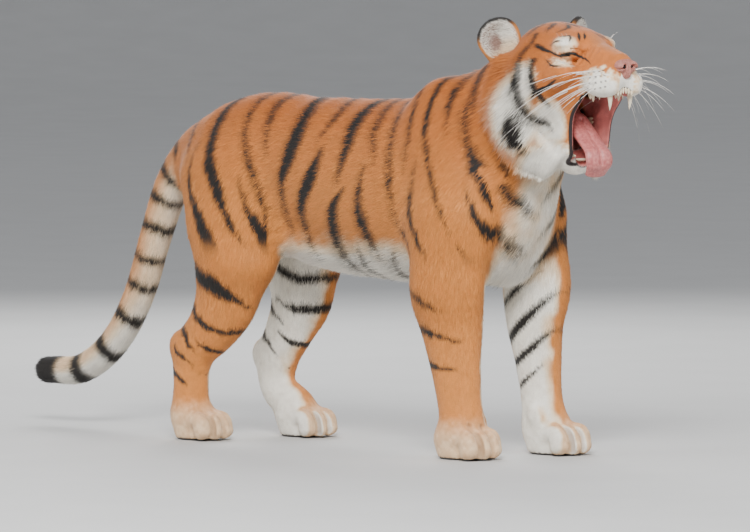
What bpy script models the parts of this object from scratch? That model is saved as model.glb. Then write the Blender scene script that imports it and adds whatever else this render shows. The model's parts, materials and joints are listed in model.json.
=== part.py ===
"""A Bengal tiger as a still, life-size model: it stands square with its head up, yawning, with its eyes shut.

The body is laid out as masses, as a sculptor builds an armature up in clay: sweeps of oval sections along a
spine, limb or jaw, and ovals for muscles. Each mass melts into the body over its own blend width. The whole
animal is meshed once, and then thin cuts part it into the pieces that a person would name.

Frame: metres, +X the way the tiger faces, +Y its left, +Z up. The paws stand on z = 0.
"""

import math

import bmesh
import bpy
import numpy as np
import openvdb
from mathutils import Matrix, Vector

# ---- Driving dimensions ------------------------------------------------------------------------------
BACK_HEIGHT = 0.950  # top of the back behind the shoulders
BELLY_HEIGHT = 0.455
STANCE = 0.135  # how far each leg stands from the middle plane
FORE_PAW_X = {"right": 0.425, "left": 0.515}
HIND_PAW_X = {"right": -0.515, "left": -0.360}
SIDES = {"right": -1, "left": 1}

HEAD_ORIGIN = Vector((0.908, -0.083, 0.986))  # on the palate's level, under the tip of the nose
HEAD_PITCH = math.radians(4.5)  # nose up
HEAD_YAW = math.radians(-14)  # towards the tiger's right
JAW_HINGE = Vector((-0.270, 0, 0.030))  # in the head's frame
GAPE = math.radians(60)
JAW_DROOP = math.radians(18)  # of the jaw's own line below the palate, mouth shut

EAR_AT = Vector((-0.370, 0.118, 0.138))
EYE_AT = Vector((-0.150, 0.066, 0.098))
EAR_OUT = math.radians(30)  # lean of the ears outwards
EAR_OPEN = math.radians(32)  # turn of their cups outwards

VOXEL = 0.008
TRIANGLES = 4750  # of the body before it is cut
CUT = 0.0008  # width of the cuts between the pieces
STEPS = 4  # segments in each stretch of a sweep
FAR = 1.0  # field value where there is nothing yet

COLOURS = {  # linear colour and roughness
    "coat": ((0.50, 0.20, 0.055), 0.8),
    "ear": ((0.05, 0.04, 0.035), 0.8),
    "eyelid": ((0.60, 0.45, 0.30), 0.8),
    "nose": ((0.45, 0.17, 0.13), 0.5),
    "tongue": ((0.60, 0.20, 0.18), 0.4),
}


# ---- The field: how far each point is from the skin, negative inside ----------------------------------
def smooth_path(stations):
    """Rows of numbers made into a smooth curve through all of them."""
    rows = np.array(stations, float)
    padded = np.vstack([2 * rows[0] - rows[1], rows, 2 * rows[-1] - rows[-2]])
    path = []
    for a, b, c, d in zip(padded, padded[1:], padded[2:], padded[3:]):
        for t in np.arange(STEPS) / STEPS:
            path.append(
                0.5 * (2 * b + (c - a) * t + (2 * a - 5 * b + 4 * c - d) * t**2 + (3 * b - a - 3 * c + d) * t**3)
            )
    path.append(rows[-1])
    return np.array(path)


class Mass:
    """A sweep of oval sections. Each station is x, y, z, half-width along `side`, half-height across it."""

    def __init__(self, stations, side=(0, 1, 0), blend=0.03, carve=False):
        self.path = smooth_path(stations)
        self.side = Vector(side).normalized()
        self.blend = blend
        self.carve = carve

    def moved(self, matrix):
        """The same mass in another frame."""
        self.path[:, :3] = [matrix @ Vector(row) for row in self.path[:, :3]]
        self.side = (matrix.to_3x3() @ self.side).normalized()
        return self

    def bounds(self, margin):
        """The box round the mass, larger by a margin."""
        reach = self.path[:, 3:5].max(axis=1)[:, None] + margin
        centres = self.path[:, :3]
        return (centres - reach).min(axis=0), (centres + reach).max(axis=0)

    def distance(self, points):
        """Distance from each point to the mass's surface, near enough for blending."""
        found = np.full(len(points), FAR, np.float32)
        for a, b in zip(self.path, self.path[1:]):
            along = Vector(b[:3] - a[:3])
            length = max(along.length, 1e-9)
            w = along / length
            u = (self.side - w * self.side.dot(w)).normalized()
            v = w.cross(u)
            offset = points - a[:3]
            t = np.clip(offset @ np.array(w) / length, 0, 1)
            radius = a[3:5] + t[:, None] * (b[3:5] - a[3:5])
            q = offset - (t * length)[:, None] * np.array(w)
            end = np.minimum(radius[:, 0], radius[:, 1])
            parts = ((q @ np.array(u), radius[:, 0]), (q @ np.array(v), radius[:, 1]), (q @ np.array(w), end))
            shares = [x / r for x, r in parts]
            inner = np.sqrt(sum(share * share for share in shares))
            outer = np.sqrt(sum((share / r) ** 2 for share, (_, r) in zip(shares, parts))) + 1e-9
            found = np.minimum(found, inner * (inner - 1) / outer)
        return found


def oval(centre, radii, turn=(0, 0, 0), blend=0.03, carve=False):
    """An ellipsoid with half-lengths along x, y, z, turned by three angles in degrees."""
    rotation = Matrix.Rotation(math.radians(turn[2]), 4, "Z")
    rotation @= Matrix.Rotation(math.radians(turn[1]), 4, "Y")
    rotation @= Matrix.Rotation(math.radians(turn[0]), 4, "X")
    mass = Oval(rotation, Vector(centre), radii, blend, carve)
    return mass


class Oval:
    def __init__(self, rotation, centre, radii, blend, carve):
        self.matrix = Matrix.Translation(centre) @ rotation
        self.radii = np.array(radii, float)
        self.blend = blend
        self.carve = carve

    def moved(self, matrix):
        self.matrix = matrix @ self.matrix
        return self

    def bounds(self, margin):
        centre = np.array(self.matrix.translation)
        reach = self.radii.max() + margin
        return centre - reach, centre + reach

    def distance(self, points):
        turn = np.array(self.matrix.to_3x3())
        q = (points - np.array(self.matrix.translation)) @ turn
        inner = np.sqrt(((q / self.radii) ** 2).sum(axis=1))
        outer = np.sqrt(((q / self.radii**2) ** 2).sum(axis=1)) + 1e-9
        return (inner * (inner - 1) / outer).astype(np.float32)


def melt(a, b, width):
    """The smaller of two distances, with a fillet of that width where they meet."""
    share = np.clip(0.5 + 0.5 * (b - a) / width, 0, 1)
    return b + (a - b) * share - width * share * (1 - share)


def surface_of(masses, voxel):
    """Points and quads of the blended surface."""
    added = [m for m in masses if not m.carve]
    boxes = [m.bounds(3 * voxel) for m in added]
    low = np.min([b[0] for b in boxes], axis=0)
    high = np.max([b[1] for b in boxes], axis=0)
    low = np.floor(low / voxel) * voxel
    shape = np.ceil((high - low) / voxel).astype(int) + 1
    field = np.full(shape, FAR, np.float32)
    axes = [low[k] + voxel * np.arange(shape[k]) for k in range(3)]
    for mass in masses:
        inner_low, inner_high = mass.bounds(mass.blend + 3 * voxel)
        span = []
        for k in range(3):
            first = int(np.clip((inner_low[k] - low[k]) / voxel, 0, shape[k]))
            last = int(np.clip((inner_high[k] - low[k]) / voxel + 2, 0, shape[k]))
            span.append(slice(first, last))
        grid = np.stack(np.meshgrid(*(axes[k][span[k]] for k in range(3)), indexing="ij"), axis=-1)
        there = mass.distance(grid.reshape(-1, 3)).reshape(grid.shape[:3])
        block = field[tuple(span)]
        if mass.carve:
            field[tuple(span)] = -melt(-block, there, mass.blend)
        else:
            field[tuple(span)] = melt(block, there, mass.blend)
    grid = openvdb.FloatGrid(FAR)
    grid.copyFromArray(field)
    points, triangles, quads = grid.convertToPolygons(0.0, 0.0)
    return points * voxel + low, triangles, quads


# ---- The body ----------------------------------------------------------------------------------------
def trunk():
    back, belly = BACK_HEIGHT, BELLY_HEIGHT
    middle, half = (back + belly) / 2, (back - belly) / 2
    return [
        Mass(
            [
                (-0.582, 0, 0.726, 0.104, 0.114),
                (-0.476, 0, 0.755, 0.152, 0.169),
                (-0.260, 0, 0.745, 0.165, 0.200),
                (0.000, 0, middle + 0.002, 0.186, half - 0.008),
                (0.200, 0, middle, 0.194, half + 0.002),
                (0.360, 0, middle + 0.022, 0.172, half),
                (0.470, 0, middle + 0.012, 0.120, half - 0.050),
            ],
            blend=0.03,
        ),
        oval((0.432, 0, 0.630), (0.096, 0.140, 0.175), blend=0.06),  # brisket
        oval((-0.170, 0, 0.545), (0.180, 0.120, 0.060), turn=(0, 8, 0), blend=0.06),  # loose belly skin
        oval((-0.400, 0, 0.842), (0.165, 0.115, 0.092), turn=(0, -12, 0), blend=0.06),  # croup
        oval((0.318, 0, 0.902), (0.105, 0.075, 0.077), turn=(0, -10, 0), blend=0.08),  # withers
    ]


def neck():
    return [
        Mass(
            [
                (0.300, 0, 0.800, 0.145, 0.178),
                (0.440, 0, 0.866, 0.142, 0.173),
                (0.560, -0.006, 0.955, 0.128, 0.160),
                (0.650, -0.015, 0.995, 0.112, 0.125),
            ],
            blend=0.07,
        ),
    ]


def foreleg(side):
    s, paw = SIDES[side], FORE_PAW_X[side]
    y, lean = s * STANCE, paw - FORE_PAW_X["right"]
    elbow, wrist = 0.360 + 0.75 * lean, 0.392 + 0.70 * lean
    slim = 1 - 1.2 * lean
    return [
        oval((0.310 + 0.1 * lean, s * 0.105, 0.855), (0.110, 0.062, 0.150), turn=(s * 14, -18, 0), blend=0.05),
        oval((0.378 + 0.1 * lean, s * 0.150, 0.650), (0.115, 0.066, 0.140), turn=(s * 4, 22, 0), blend=0.06),
        Mass(
            [
                (elbow + 0.018 - 0.40 * lean, s * 0.148, 0.620, 0.072, 0.118 * slim**2),
                (elbow, s * 0.148, 0.450, 0.076, 0.118 * slim),
                (elbow + 0.006, y, 0.350, 0.068, 0.098 * slim),
                (0.5 * (elbow + wrist) + 0.002, y, 0.260, 0.060, 0.079 * slim),
                (wrist, y, 0.160, 0.055, 0.065 * slim),
                (wrist + 0.010, y, 0.095, 0.056, 0.064),
            ],
            blend=0.05,
        ),
        *paw_masses(paw, y, s, 0.096, 1.0),
        oval((wrist + 0.022, y - s * 0.056, 0.105), (0.020, 0.014, 0.030), turn=(0, -25, 0), blend=0.02),
    ]


def hindleg(side):
    s, paw = SIDES[side], HIND_PAW_X[side]
    y, lean = s * (STANCE - 0.005), paw - HIND_PAW_X["right"]
    hock_x, hock_z = -0.560 + 0.50 * lean, 0.250 - 0.20 * lean
    knee = -0.370 + 0.12 * lean
    return [
        Mass(
            [
                (-0.450, s * 0.098, 0.735, 0.086, 0.156),
                (-0.412 + 0.05 * lean, s * 0.124, 0.600, 0.082, 0.158),
                (knee - 0.020, s * 0.130, 0.490, 0.074, 0.128),
            ],
            blend=0.06,
        ),
        Mass(
            [
                (knee - 0.020, s * 0.132, 0.490, 0.070, 0.112),
                (knee - 0.062 + 0.2 * lean, y, 0.385, 0.062, 0.104),
                (knee - 0.112 + 0.3 * lean, y, 0.310, 0.055, 0.082),
                (hock_x + 0.014, y, hock_z + 0.005, 0.048, 0.066),
            ],
            blend=0.05,
        ),
        Mass(
            [
                (hock_x, y, hock_z - 0.005, 0.045, 0.062),
                (hock_x + 0.20 * (paw - hock_x) - 0.008, y, 0.6 * hock_z, 0.044, 0.055),
                (paw - 0.048, y, 0.085, 0.048, 0.056),
            ],
            blend=0.03,
        ),
        oval((hock_x - 0.036, y, hock_z + 0.006), (0.030, 0.026, 0.036), turn=(0, -20, 0), blend=0.03),
        *paw_masses(paw, y, s, 0.086, 0.94),
    ]


def paw_masses(x, y, s, length, size):
    """A paw round x, y: a pad, and four toes whose knuckles arch over it."""
    toes = [
        Mass(
            [
                (x - 0.010, y + across * size * 0.75, 0.058, 0.024 * size, 0.026 * size),
                (x + 0.75 * reach * size, y + across * size * 0.95, 0.055 * size, 0.024 * size, 0.027 * size),
                (x + reach * size, y + across * size, 0.024, 0.0235 * size, 0.026 * size),
            ],
            blend=0.012,
        )
        for across, reach in ((-0.052, 0.040), (-0.019, 0.062), (0.019, 0.062), (0.052, 0.040))
    ]
    return [
        oval((x - 0.030, y, 0.050), (length * 0.80, 0.064 * size, 0.056), blend=0.03),
        oval((x - 0.020, y, 0.014), (length * 0.75, 0.058 * size, 0.030), blend=0.02),
        *toes,
    ]


def tail():
    return [
        Mass(
            [
                (-0.520, 0, 0.800, 0.062, 0.075),
                (-0.640, 0, 0.790, 0.058, 0.065),
                (-0.740, 0, 0.690, 0.052, 0.054),
                (-0.805, 0, 0.545, 0.047, 0.048),
                (-0.868, 0, 0.380, 0.046, 0.046),
                (-0.958, 0, 0.245, 0.045, 0.045),
                (-1.080, 0, 0.163, 0.044, 0.044),
                (-1.212, 0, 0.152, 0.041, 0.041),
            ],
            blend=0.05,
        )
    ]


# ---- The head, in its own frame: x forward from under the nose, y left, z up from the palate ----------
def head_frame():
    turn = Matrix.Rotation(HEAD_YAW, 4, "Z") @ Matrix.Rotation(-HEAD_PITCH, 4, "Y")
    return Matrix.Translation(HEAD_ORIGIN) @ turn


def jaw_frame():
    """x along the lower jaw from its hinge to the chin, z towards its teeth."""
    return head_frame() @ Matrix.Translation(JAW_HINGE) @ Matrix.Rotation(GAPE + JAW_DROOP, 4, "Y")


def skull():
    masses = [
        oval((-0.290, 0, 0.092), (0.115, 0.112, 0.098), blend=0.03),  # braincase
        oval((-0.200, 0, 0.112), (0.090, 0.084, 0.058), turn=(0, 14, 0), blend=0.03),  # forehead
        Mass(  # bridge of the nose
            [(-0.170, 0, 0.112, 0.044, 0.036), (-0.095, 0, 0.090, 0.037, 0.031), (-0.026, 0, 0.071, 0.029, 0.023)],
            blend=0.025,
        ),
        Mass(  # muzzle
            [(-0.190, 0, 0.050, 0.084, 0.058), (-0.110, 0, 0.038, 0.064, 0.050), (-0.045, 0, 0.030, 0.052, 0.042)],
            blend=0.03,
        ),
        oval((-0.012, 0, 0.056), (0.019, 0.031, 0.023), turn=(0, 20, 0), blend=0.012),  # nose pad
    ]
    for s in SIDES.values():
        masses += [
            oval((-0.190, s * 0.088, 0.050), (0.085, 0.038, 0.044), turn=(0, 6, s * 10), blend=0.04),  # cheekbone
            oval((-0.054, s * 0.038, 0.017), (0.057, 0.040, 0.036), turn=(0, 4, s * -8), blend=0.018),  # whisker pad
            oval((-0.166, s * 0.058, 0.122), (0.038, 0.027, 0.020), turn=(0, 8, s * -25), blend=0.02),  # brow
            oval((-0.138, s * 0.080, 0.096), (0.034, 0.020, 0.020), turn=(0, 10, s * -24), blend=0.02, carve=True),
            oval((-0.285, s * 0.102, 0.005), (0.085, 0.055, 0.100), turn=(s * -10, 0, 0), blend=0.05),  # cheek
            Mass(  # ruff
                [
                    (-0.345, s * 0.128, 0.085, 0.022, 0.030),
                    (-0.345, s * 0.150, -0.020, 0.030, 0.048),
                    (-0.300, s * 0.124, -0.120, 0.028, 0.052),
                    (-0.245, s * 0.080, -0.190, 0.022, 0.040),
                ],
                side=(0.35, s * 0.94, 0),
                blend=0.03,
            ),
        ]
    return masses


def jaw():
    masses = [
        oval((0.212, 0, -0.006), (0.036, 0.046, 0.034), blend=0.025),  # chin
        Mass(  # floor of the mouth
            [(0.030, 0, -0.045, 0.085, 0.034), (0.120, 0, -0.034, 0.062, 0.026), (0.200, 0, -0.014, 0.036, 0.022)],
            blend=0.03,
        ),
    ]
    for s in SIDES.values():  # the two rami
        masses.append(
            Mass(
                [
                    (-0.010, s * 0.098, 0.000, 0.034, 0.050),
                    (0.070, s * 0.078, -0.010, 0.026, 0.036),
                    (0.150, s * 0.056, -0.004, 0.020, 0.028),
                    (0.210, s * 0.028, 0.004, 0.020, 0.024),
                ],
                blend=0.025,
            )
        )
    return masses


def cheeks():
    """The skin that the gape stretches between the jaws."""
    return [
        Mass(
            [
                (-0.142, s * 0.068, 0.004, 0.018, 0.040),
                (-0.185, s * 0.066, -0.038, 0.017, 0.042),
                (-0.204, s * 0.064, -0.082, 0.017, 0.043),
                (-0.211, s * 0.062, -0.124, 0.017, 0.043),
                (-0.206, s * 0.057, -0.158, 0.015, 0.034),
            ],
            blend=0.03,
        )
        for s in SIDES.values()
    ]


def body_masses():
    head, lower = head_frame(), jaw_frame()
    masses = [*trunk(), *neck(), *tail()]
    for side in SIDES:
        masses += foreleg(side) + hindleg(side)
    masses += [m.moved(head) for m in skull() + cheeks()]
    masses += [m.moved(lower) for m in jaw()]
    return masses


# ---- Pieces of their own -----------------------------------------------------------------------------
def ear(side):
    """A round cup that opens forwards and outwards."""
    s = SIDES[side]
    masses = [
        oval((0, 0, 0.022), (0.020, 0.060, 0.055), blend=0.01),
        oval((0, 0, -0.030), (0.026, 0.050, 0.050), blend=0.03),
        oval((0.021, 0, 0.020), (0.021, 0.045, 0.044), blend=0.01, carve=True),
    ]
    place = head_frame() @ Matrix.Translation((EAR_AT.x, s * EAR_AT.y, EAR_AT.z))
    place @= Matrix.Rotation(-s * EAR_OUT, 4, "X") @ Matrix.Rotation(s * EAR_OPEN, 4, "Z")
    return [m.moved(place) for m in masses]


def tongue():
    masses = [
        Mass(
            [
                (0.112, 0, 0.026, 0.036, 0.024),
                (0.148, 0, 0.048, 0.038, 0.020),
                (0.184, 0, 0.073, 0.037, 0.016),
                (0.214, 0, 0.092, 0.040, 0.013),
                (0.243, 0, 0.090, 0.041, 0.012),
                (0.265, 0, 0.066, 0.033, 0.010),
            ],
            blend=0.01,
        )
    ]
    lower = jaw_frame()
    return [m.moved(lower) for m in masses]


def eyelid(side):
    s = SIDES[side]
    masses = [oval((EYE_AT.x, s * EYE_AT.y, EYE_AT.z), (0.022, 0.014, 0.017), turn=(0, 10, s * -24), blend=0.01)]
    head = head_frame()
    return [m.moved(head) for m in masses]


def tooth(frame, foot, tip, radius, name):
    """A curved cone from its foot inside the gum to its tip."""
    foot, tip = frame @ Vector(foot), frame @ Vector(tip)
    mesh = bmesh.new()
    length = (tip - foot).length
    bmesh.ops.create_cone(mesh, cap_ends=True, segments=8, radius1=radius, radius2=0.12 * radius, depth=length)
    turn = (tip - foot).to_track_quat("Z", "Y").to_matrix().to_4x4()
    bmesh.ops.transform(mesh, matrix=Matrix.Translation((foot + tip) / 2) @ turn, verts=mesh.verts)
    return new_object(name, mesh)


def upper_teeth():
    head = head_frame()
    teeth = []
    for side, s in SIDES.items():
        teeth.append(tooth(head, (-0.042, s * 0.034, 0.020), (-0.036, s * 0.032, -0.050), 0.0105, f"canine_{side}"))
        for i in range(3):
            y = s * (0.0045 + 0.0085 * i)
            teeth.append(tooth(head, (-0.018, y, 0.010), (-0.014, y, -0.026), 0.0044, f"incisor_{side}_{i}"))
    return teeth


def lower_teeth():
    jaw_at = jaw_frame()
    teeth = []
    for side, s in SIDES.items():
        teeth.append(tooth(jaw_at, (0.208, s * 0.040, -0.004), (0.214, s * 0.043, 0.052), 0.0095, f"fang_{side}"))
    return teeth


# ---- Meshing and cutting -----------------------------------------------------------------------------
def new_object(name, mesh):
    data = bpy.data.meshes.new(name)
    mesh.to_mesh(data)
    mesh.free()
    obj = bpy.data.objects.new(name, data)
    bpy.context.scene.collection.objects.link(obj)
    return obj


def solid(name, masses, voxel, triangles):
    """The blended surface of some masses as a closed mesh with that many triangles."""
    points, tris, quads = surface_of(masses, voxel)
    mesh = bmesh.new()
    verts = [mesh.verts.new(p) for p in points.tolist()]
    for face in [*quads.tolist(), *tris.tolist()]:
        mesh.faces.new([verts[i] for i in face])
    count = sum(len(f.verts) - 2 for f in mesh.faces)
    obj = new_object(name, mesh)
    if count > triangles:
        decimate = obj.modifiers.new("Decimate", "DECIMATE")
        decimate.ratio = triangles / count
        apply_modifiers(obj)
    return obj


def apply_modifiers(obj):
    evaluated = obj.evaluated_get(bpy.context.evaluated_depsgraph_get())
    mesh = bpy.data.meshes.new_from_object(evaluated)
    obj.modifiers.clear()
    obj.data = mesh


def boolean(obj, other, operation):
    """One exact Boolean, applied, and the other object removed."""
    modifier = obj.modifiers.new(operation, "BOOLEAN")
    modifier.operation = operation
    modifier.solver = "EXACT"
    modifier.object = other
    modifier.use_self = other.name.startswith("grown")
    apply_modifiers(obj)
    bpy.data.objects.remove(other)


def block(frame, low, high, grow=0.0):
    """A box between two corners of a frame, made larger all round by `grow`."""
    mesh = bmesh.new()
    bmesh.ops.create_cube(mesh, size=1)
    low, high = Vector(low) - Vector((grow,) * 3), Vector(high) + Vector((grow,) * 3)
    for vert in mesh.verts:
        vert.co = frame @ Vector([low[k] + (vert.co[k] + 0.5) * (high[k] - low[k]) for k in range(3)])
    return new_object("block", mesh)


def part_off(body, name, frame, low, high):
    """Cut what is inside a box off the body, with a thin gap between the two."""
    piece = bpy.data.objects.new(name, body.data.copy())
    bpy.context.scene.collection.objects.link(piece)
    boolean(piece, block(frame, low, high), "INTERSECT")
    boolean(body, block(frame, low, high, grow=CUT), "DIFFERENCE")
    return piece


def set_in(obj, others):
    """Cut sockets for a piece into the others, wider than it by a cut all round."""
    for other in others:
        grown = bpy.data.objects.new("grown", obj.data.copy())
        bpy.context.scene.collection.objects.link(grown)
        for vert, whole in zip(grown.data.vertices, obj.data.vertices):
            vert.co = whole.co + 1.6 * CUT * whole.normal
        boolean(other, grown, "DIFFERENCE")
    return obj


def material(name, colour, roughness):
    made = bpy.data.materials.new(name)
    made.use_nodes = True
    shader = made.node_tree.nodes["Principled BSDF"]
    shader.inputs["Base Color"].default_value = (*colour, 1)
    shader.inputs["Roughness"].default_value = roughness
    return made


def cut_up(body):
    """The body's pieces, by thin cuts where a person would name a new part."""
    world = Matrix.Identity(4)
    pieces = {}

    def cut(name, low, high, frame=world):
        pieces[name] = part_off(body, name, frame, low, high)

    tail_root = Matrix.Translation((-0.745, 0, 0.672)) @ Matrix.Rotation(math.radians(28), 4, "Y")
    cut("tail_tip", (-1.4, -0.1, -0.1), (-1.03, 0.1, 0.4))
    cut("tail_middle", (-1.1, -0.1, 0.1), (-0.72, 0.1, 0.43))
    cut("tail_base", (-0.5, -0.1, -0.45), (0.085, 0.1, 0), tail_root)
    for side, s in SIDES.items():
        y_low, y_high = sorted((0, s * 0.40))
        cut(f"forepaw_{side}", (0.20, y_low, -0.1), (0.75, y_high, 0.098))
        cut(f"foreleg_{side}", (0.15, y_low, -0.1), (0.75, y_high, 0.425))
        cut(f"hindpaw_{side}", (-0.72, y_low, -0.1), (-0.10, y_high, 0.092))
        cut(f"hindleg_{side}", (-0.70, y_low, -0.1), (-0.10, y_high, 0.300))
        cut(f"thigh_{side}", (-0.71, y_low, -0.1), (-0.10, y_high, 0.540))
    head = head_frame()
    cut("nose", (-0.026, -0.05, 0.030), (0.05, 0.05, 0.10), head)
    back = head @ Matrix.Translation((-0.375, 0, -0.27)) @ Matrix.Rotation(math.radians(-10), 4, "Y")
    cut("lower_jaw", (0, -0.3, -0.03), (0.30, 0.3, 0.180), back)
    cut("head", (0, -0.3, 0.100), (0.60, 0.3, 0.60), back)
    collar = Matrix.Translation((0.457, 0, 0.86)) @ Matrix.Rotation(math.radians(-37), 4, "Y")
    cut("neck", (0, -0.4, -0.30), (0.60, 0.4, 0.40), collar)
    body.name = body.data.name = "trunk"
    pieces["trunk"] = body
    return pieces


def main():
    for obj in list(bpy.data.objects):
        bpy.data.objects.remove(obj)
    body = solid("body", body_masses(), VOXEL, TRIANGLES)
    boolean(body, block(Matrix.Identity(4), (-3, -1, 0), (3, 1, 3)), "INTERSECT")
    pieces = cut_up(body)

    for side in SIDES:
        for whole in (
            solid(f"ear_{side}", ear(side), 0.004, 240),
            solid(f"eyelid_{side}", eyelid(side), 0.003, 120),
        ):
            pieces[whole.name] = set_in(whole, [pieces["head"]])
    pieces["tongue"] = set_in(solid("tongue", tongue(), 0.005, 280), [pieces["lower_jaw"], pieces["head"]])
    for tooth_object in upper_teeth():
        boolean(pieces["head"], tooth_object, "UNION")
    for tooth_object in lower_teeth():
        boolean(pieces["lower_jaw"], tooth_object, "UNION")

    corners = [v.co for piece in pieces.values() for v in piece.data.vertices]
    middle = [(min(c[k] for c in corners) + max(c[k] for c in corners)) / 2 for k in range(2)]
    for name, piece in pieces.items():
        piece.name = piece.data.name = name
        piece.data.transform(Matrix.Translation((-middle[0], -middle[1], 0)))
        colour, roughness = COLOURS.get(name.rsplit("_", 1)[0], COLOURS.get(name, COLOURS["coat"]))
        piece.data.materials.clear()
        piece.data.materials.append(material(name, colour, roughness))
        piece.data.shade_flat()
    print("moved by", [round(-m, 6) for m in middle])
    return pieces


if __name__ == "__main__":
    main()
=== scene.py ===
"""The looks of the Bengal tiger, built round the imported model.

One skin replaces every piece of flesh. It is the surface of the same masses that the solids are made from,
drawn in by the depth of the coat, with the folds, lips and lids that the solids leave out. The coat is many
small blades of mesh that lie along the skin. Skin and coat take their colours from one function of place.

Everything is laid out in the solids' own layout, with the right forepaw near x = 0.425, and moved by TO_FRAME
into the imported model's frame at the end. Metres, +X the way the tiger faces, +Y its left, +Z up.
"""

import json
import math

import bmesh
import bpy
import numpy as np
import openvdb
from mathutils import Matrix, Vector
from mathutils.bvhtree import BVHTree

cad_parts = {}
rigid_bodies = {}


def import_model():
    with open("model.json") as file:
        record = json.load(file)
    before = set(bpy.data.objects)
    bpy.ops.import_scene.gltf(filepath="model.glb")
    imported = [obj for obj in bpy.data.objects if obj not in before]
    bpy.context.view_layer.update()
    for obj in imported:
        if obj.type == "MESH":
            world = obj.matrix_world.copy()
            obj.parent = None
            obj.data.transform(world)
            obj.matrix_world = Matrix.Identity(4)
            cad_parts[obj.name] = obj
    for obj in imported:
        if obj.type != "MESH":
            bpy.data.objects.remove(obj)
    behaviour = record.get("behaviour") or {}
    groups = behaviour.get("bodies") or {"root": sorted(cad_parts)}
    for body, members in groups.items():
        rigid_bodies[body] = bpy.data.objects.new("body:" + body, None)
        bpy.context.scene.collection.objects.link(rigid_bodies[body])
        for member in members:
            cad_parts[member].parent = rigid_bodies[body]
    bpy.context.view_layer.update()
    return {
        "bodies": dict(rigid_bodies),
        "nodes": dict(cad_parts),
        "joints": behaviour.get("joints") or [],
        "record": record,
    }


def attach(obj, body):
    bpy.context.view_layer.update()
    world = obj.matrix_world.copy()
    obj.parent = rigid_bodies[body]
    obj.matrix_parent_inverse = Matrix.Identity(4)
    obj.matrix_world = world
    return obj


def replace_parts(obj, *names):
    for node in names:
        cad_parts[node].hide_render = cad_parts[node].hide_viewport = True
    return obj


# ---- Driving dimensions, as in the solids -------------------------------------------------------------
BACK_HEIGHT = 0.95
BELLY_HEIGHT = 0.455
STANCE = 0.135
FORE_PAW_X = {"right": 0.425, "left": 0.515}
HIND_PAW_X = {"right": -0.515, "left": -0.36}
SIDES = {"right": -1, "left": 1}
HEAD_ORIGIN = Vector((0.908, -0.083, 0.986))
HEAD_PITCH = math.radians(4.5)
HEAD_YAW = math.radians(-14)
JAW_HINGE = Vector((-0.27, 0, 0.03))
GAPE = math.radians(60)
JAW_DROOP = math.radians(18)
EAR_AT = Vector((-0.37, 0.118, 0.138))
EYE_AT = Vector((-0.15, 0.066, 0.098))
EAR_OUT = math.radians(30)
EAR_OPEN = math.radians(32)
EAR_CUP, EAR_CUP_RADII = (0.021, 0, 0.02), (0.021, 0.045, 0.044)
LIP_RADIUS = 0.005
TO_FRAME = Vector((0.166572, 0.000663, 0))  # how far packing moves the solids' layout

FAR = 1.0  # more than any distance that matters here
STEPS = 4  # pieces of a smooth path between two stations
BODY_VOXEL = 0.0081
EAR_VOXEL = 0.003

# The head's frame has x forward from under the nose, y left and z up from the palate. The jaw's frame has
# x along the lower jaw from its hinge to the chin, and z towards its teeth.
HEAD_TURN = Matrix.Rotation(HEAD_YAW, 4, "Z") @ Matrix.Rotation(-HEAD_PITCH, 4, "Y")
HEAD = Matrix.Translation(HEAD_ORIGIN) @ HEAD_TURN
JAW = HEAD @ Matrix.Translation(JAW_HINGE) @ Matrix.Rotation(GAPE + JAW_DROOP, 4, "Y")


# ---- The field of the body, as in the solids ----------------------------------------------------------
def smooth_path(stations, steps=STEPS):
    """Rows of numbers made into a smooth curve through all of them."""
    rows = np.array(stations, float)
    padded = np.vstack([2 * rows[0] - rows[1], rows, 2 * rows[-1] - rows[-2]])
    path = []
    for a, b, c, d in zip(padded, padded[1:], padded[2:], padded[3:]):
        for t in np.arange(steps) / steps:
            bend, twist = 2 * a - 5 * b + 4 * c - d, 3 * b - a - 3 * c + d
            path.append(0.5 * (2 * b + (c - a) * t + bend * t**2 + twist * t**3))
    path.append(rows[-1])
    return np.array(path)


class Mass:
    """A sweep of oval sections. Each station is x, y, z, half-width along `side`, half-height across it."""

    def __init__(self, *stations, side=(0, 1, 0), blend=0.03, carve=False):
        self.path = smooth_path(stations)
        self.side = Vector(side).normalized()
        self.blend = blend
        self.carve = carve

    def moved(self, matrix):
        """Carry the mass along with its frame."""
        self.path[:, :3] = [matrix @ Vector(row) for row in self.path[:, :3]]
        self.side = (matrix.to_3x3() @ self.side).normalized()
        return self

    def bounds(self, margin):
        """The box round the mass, larger by a margin."""
        reach = self.path[:, 3:5].max(axis=1)[:, None] + margin
        centres = self.path[:, :3]
        return (centres - reach).min(axis=0), (centres + reach).max(axis=0)

    def distance(self, points):
        """Distance from each point to the mass's surface, near enough for blending."""
        found = np.full(len(points), FAR, np.float32)
        for a, b in zip(self.path, self.path[1:]):
            along = Vector(b[:3] - a[:3])
            length = max(along.length, 1e-9)
            w = along / length
            u = (self.side - w * self.side.dot(w)).normalized()
            v = w.cross(u)
            offset = points - a[:3]
            t = np.clip(offset @ np.array(w) / length, 0, 1)
            radius = a[3:5] + t[:, None] * (b[3:5] - a[3:5])
            q = offset - (t * length)[:, None] * np.array(w)
            end = np.minimum(radius[:, 0], radius[:, 1])
            parts = ((q @ np.array(u), radius[:, 0]), (q @ np.array(v), radius[:, 1]), (q @ np.array(w), end))
            shares = [x / r for x, r in parts]
            inner = np.sqrt(sum(share * share for share in shares))
            outer = np.sqrt(sum((share / r) ** 2 for share, (_, r) in zip(shares, parts))) + 1e-9
            found = np.minimum(found, inner * (inner - 1) / outer)
        return found


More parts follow.
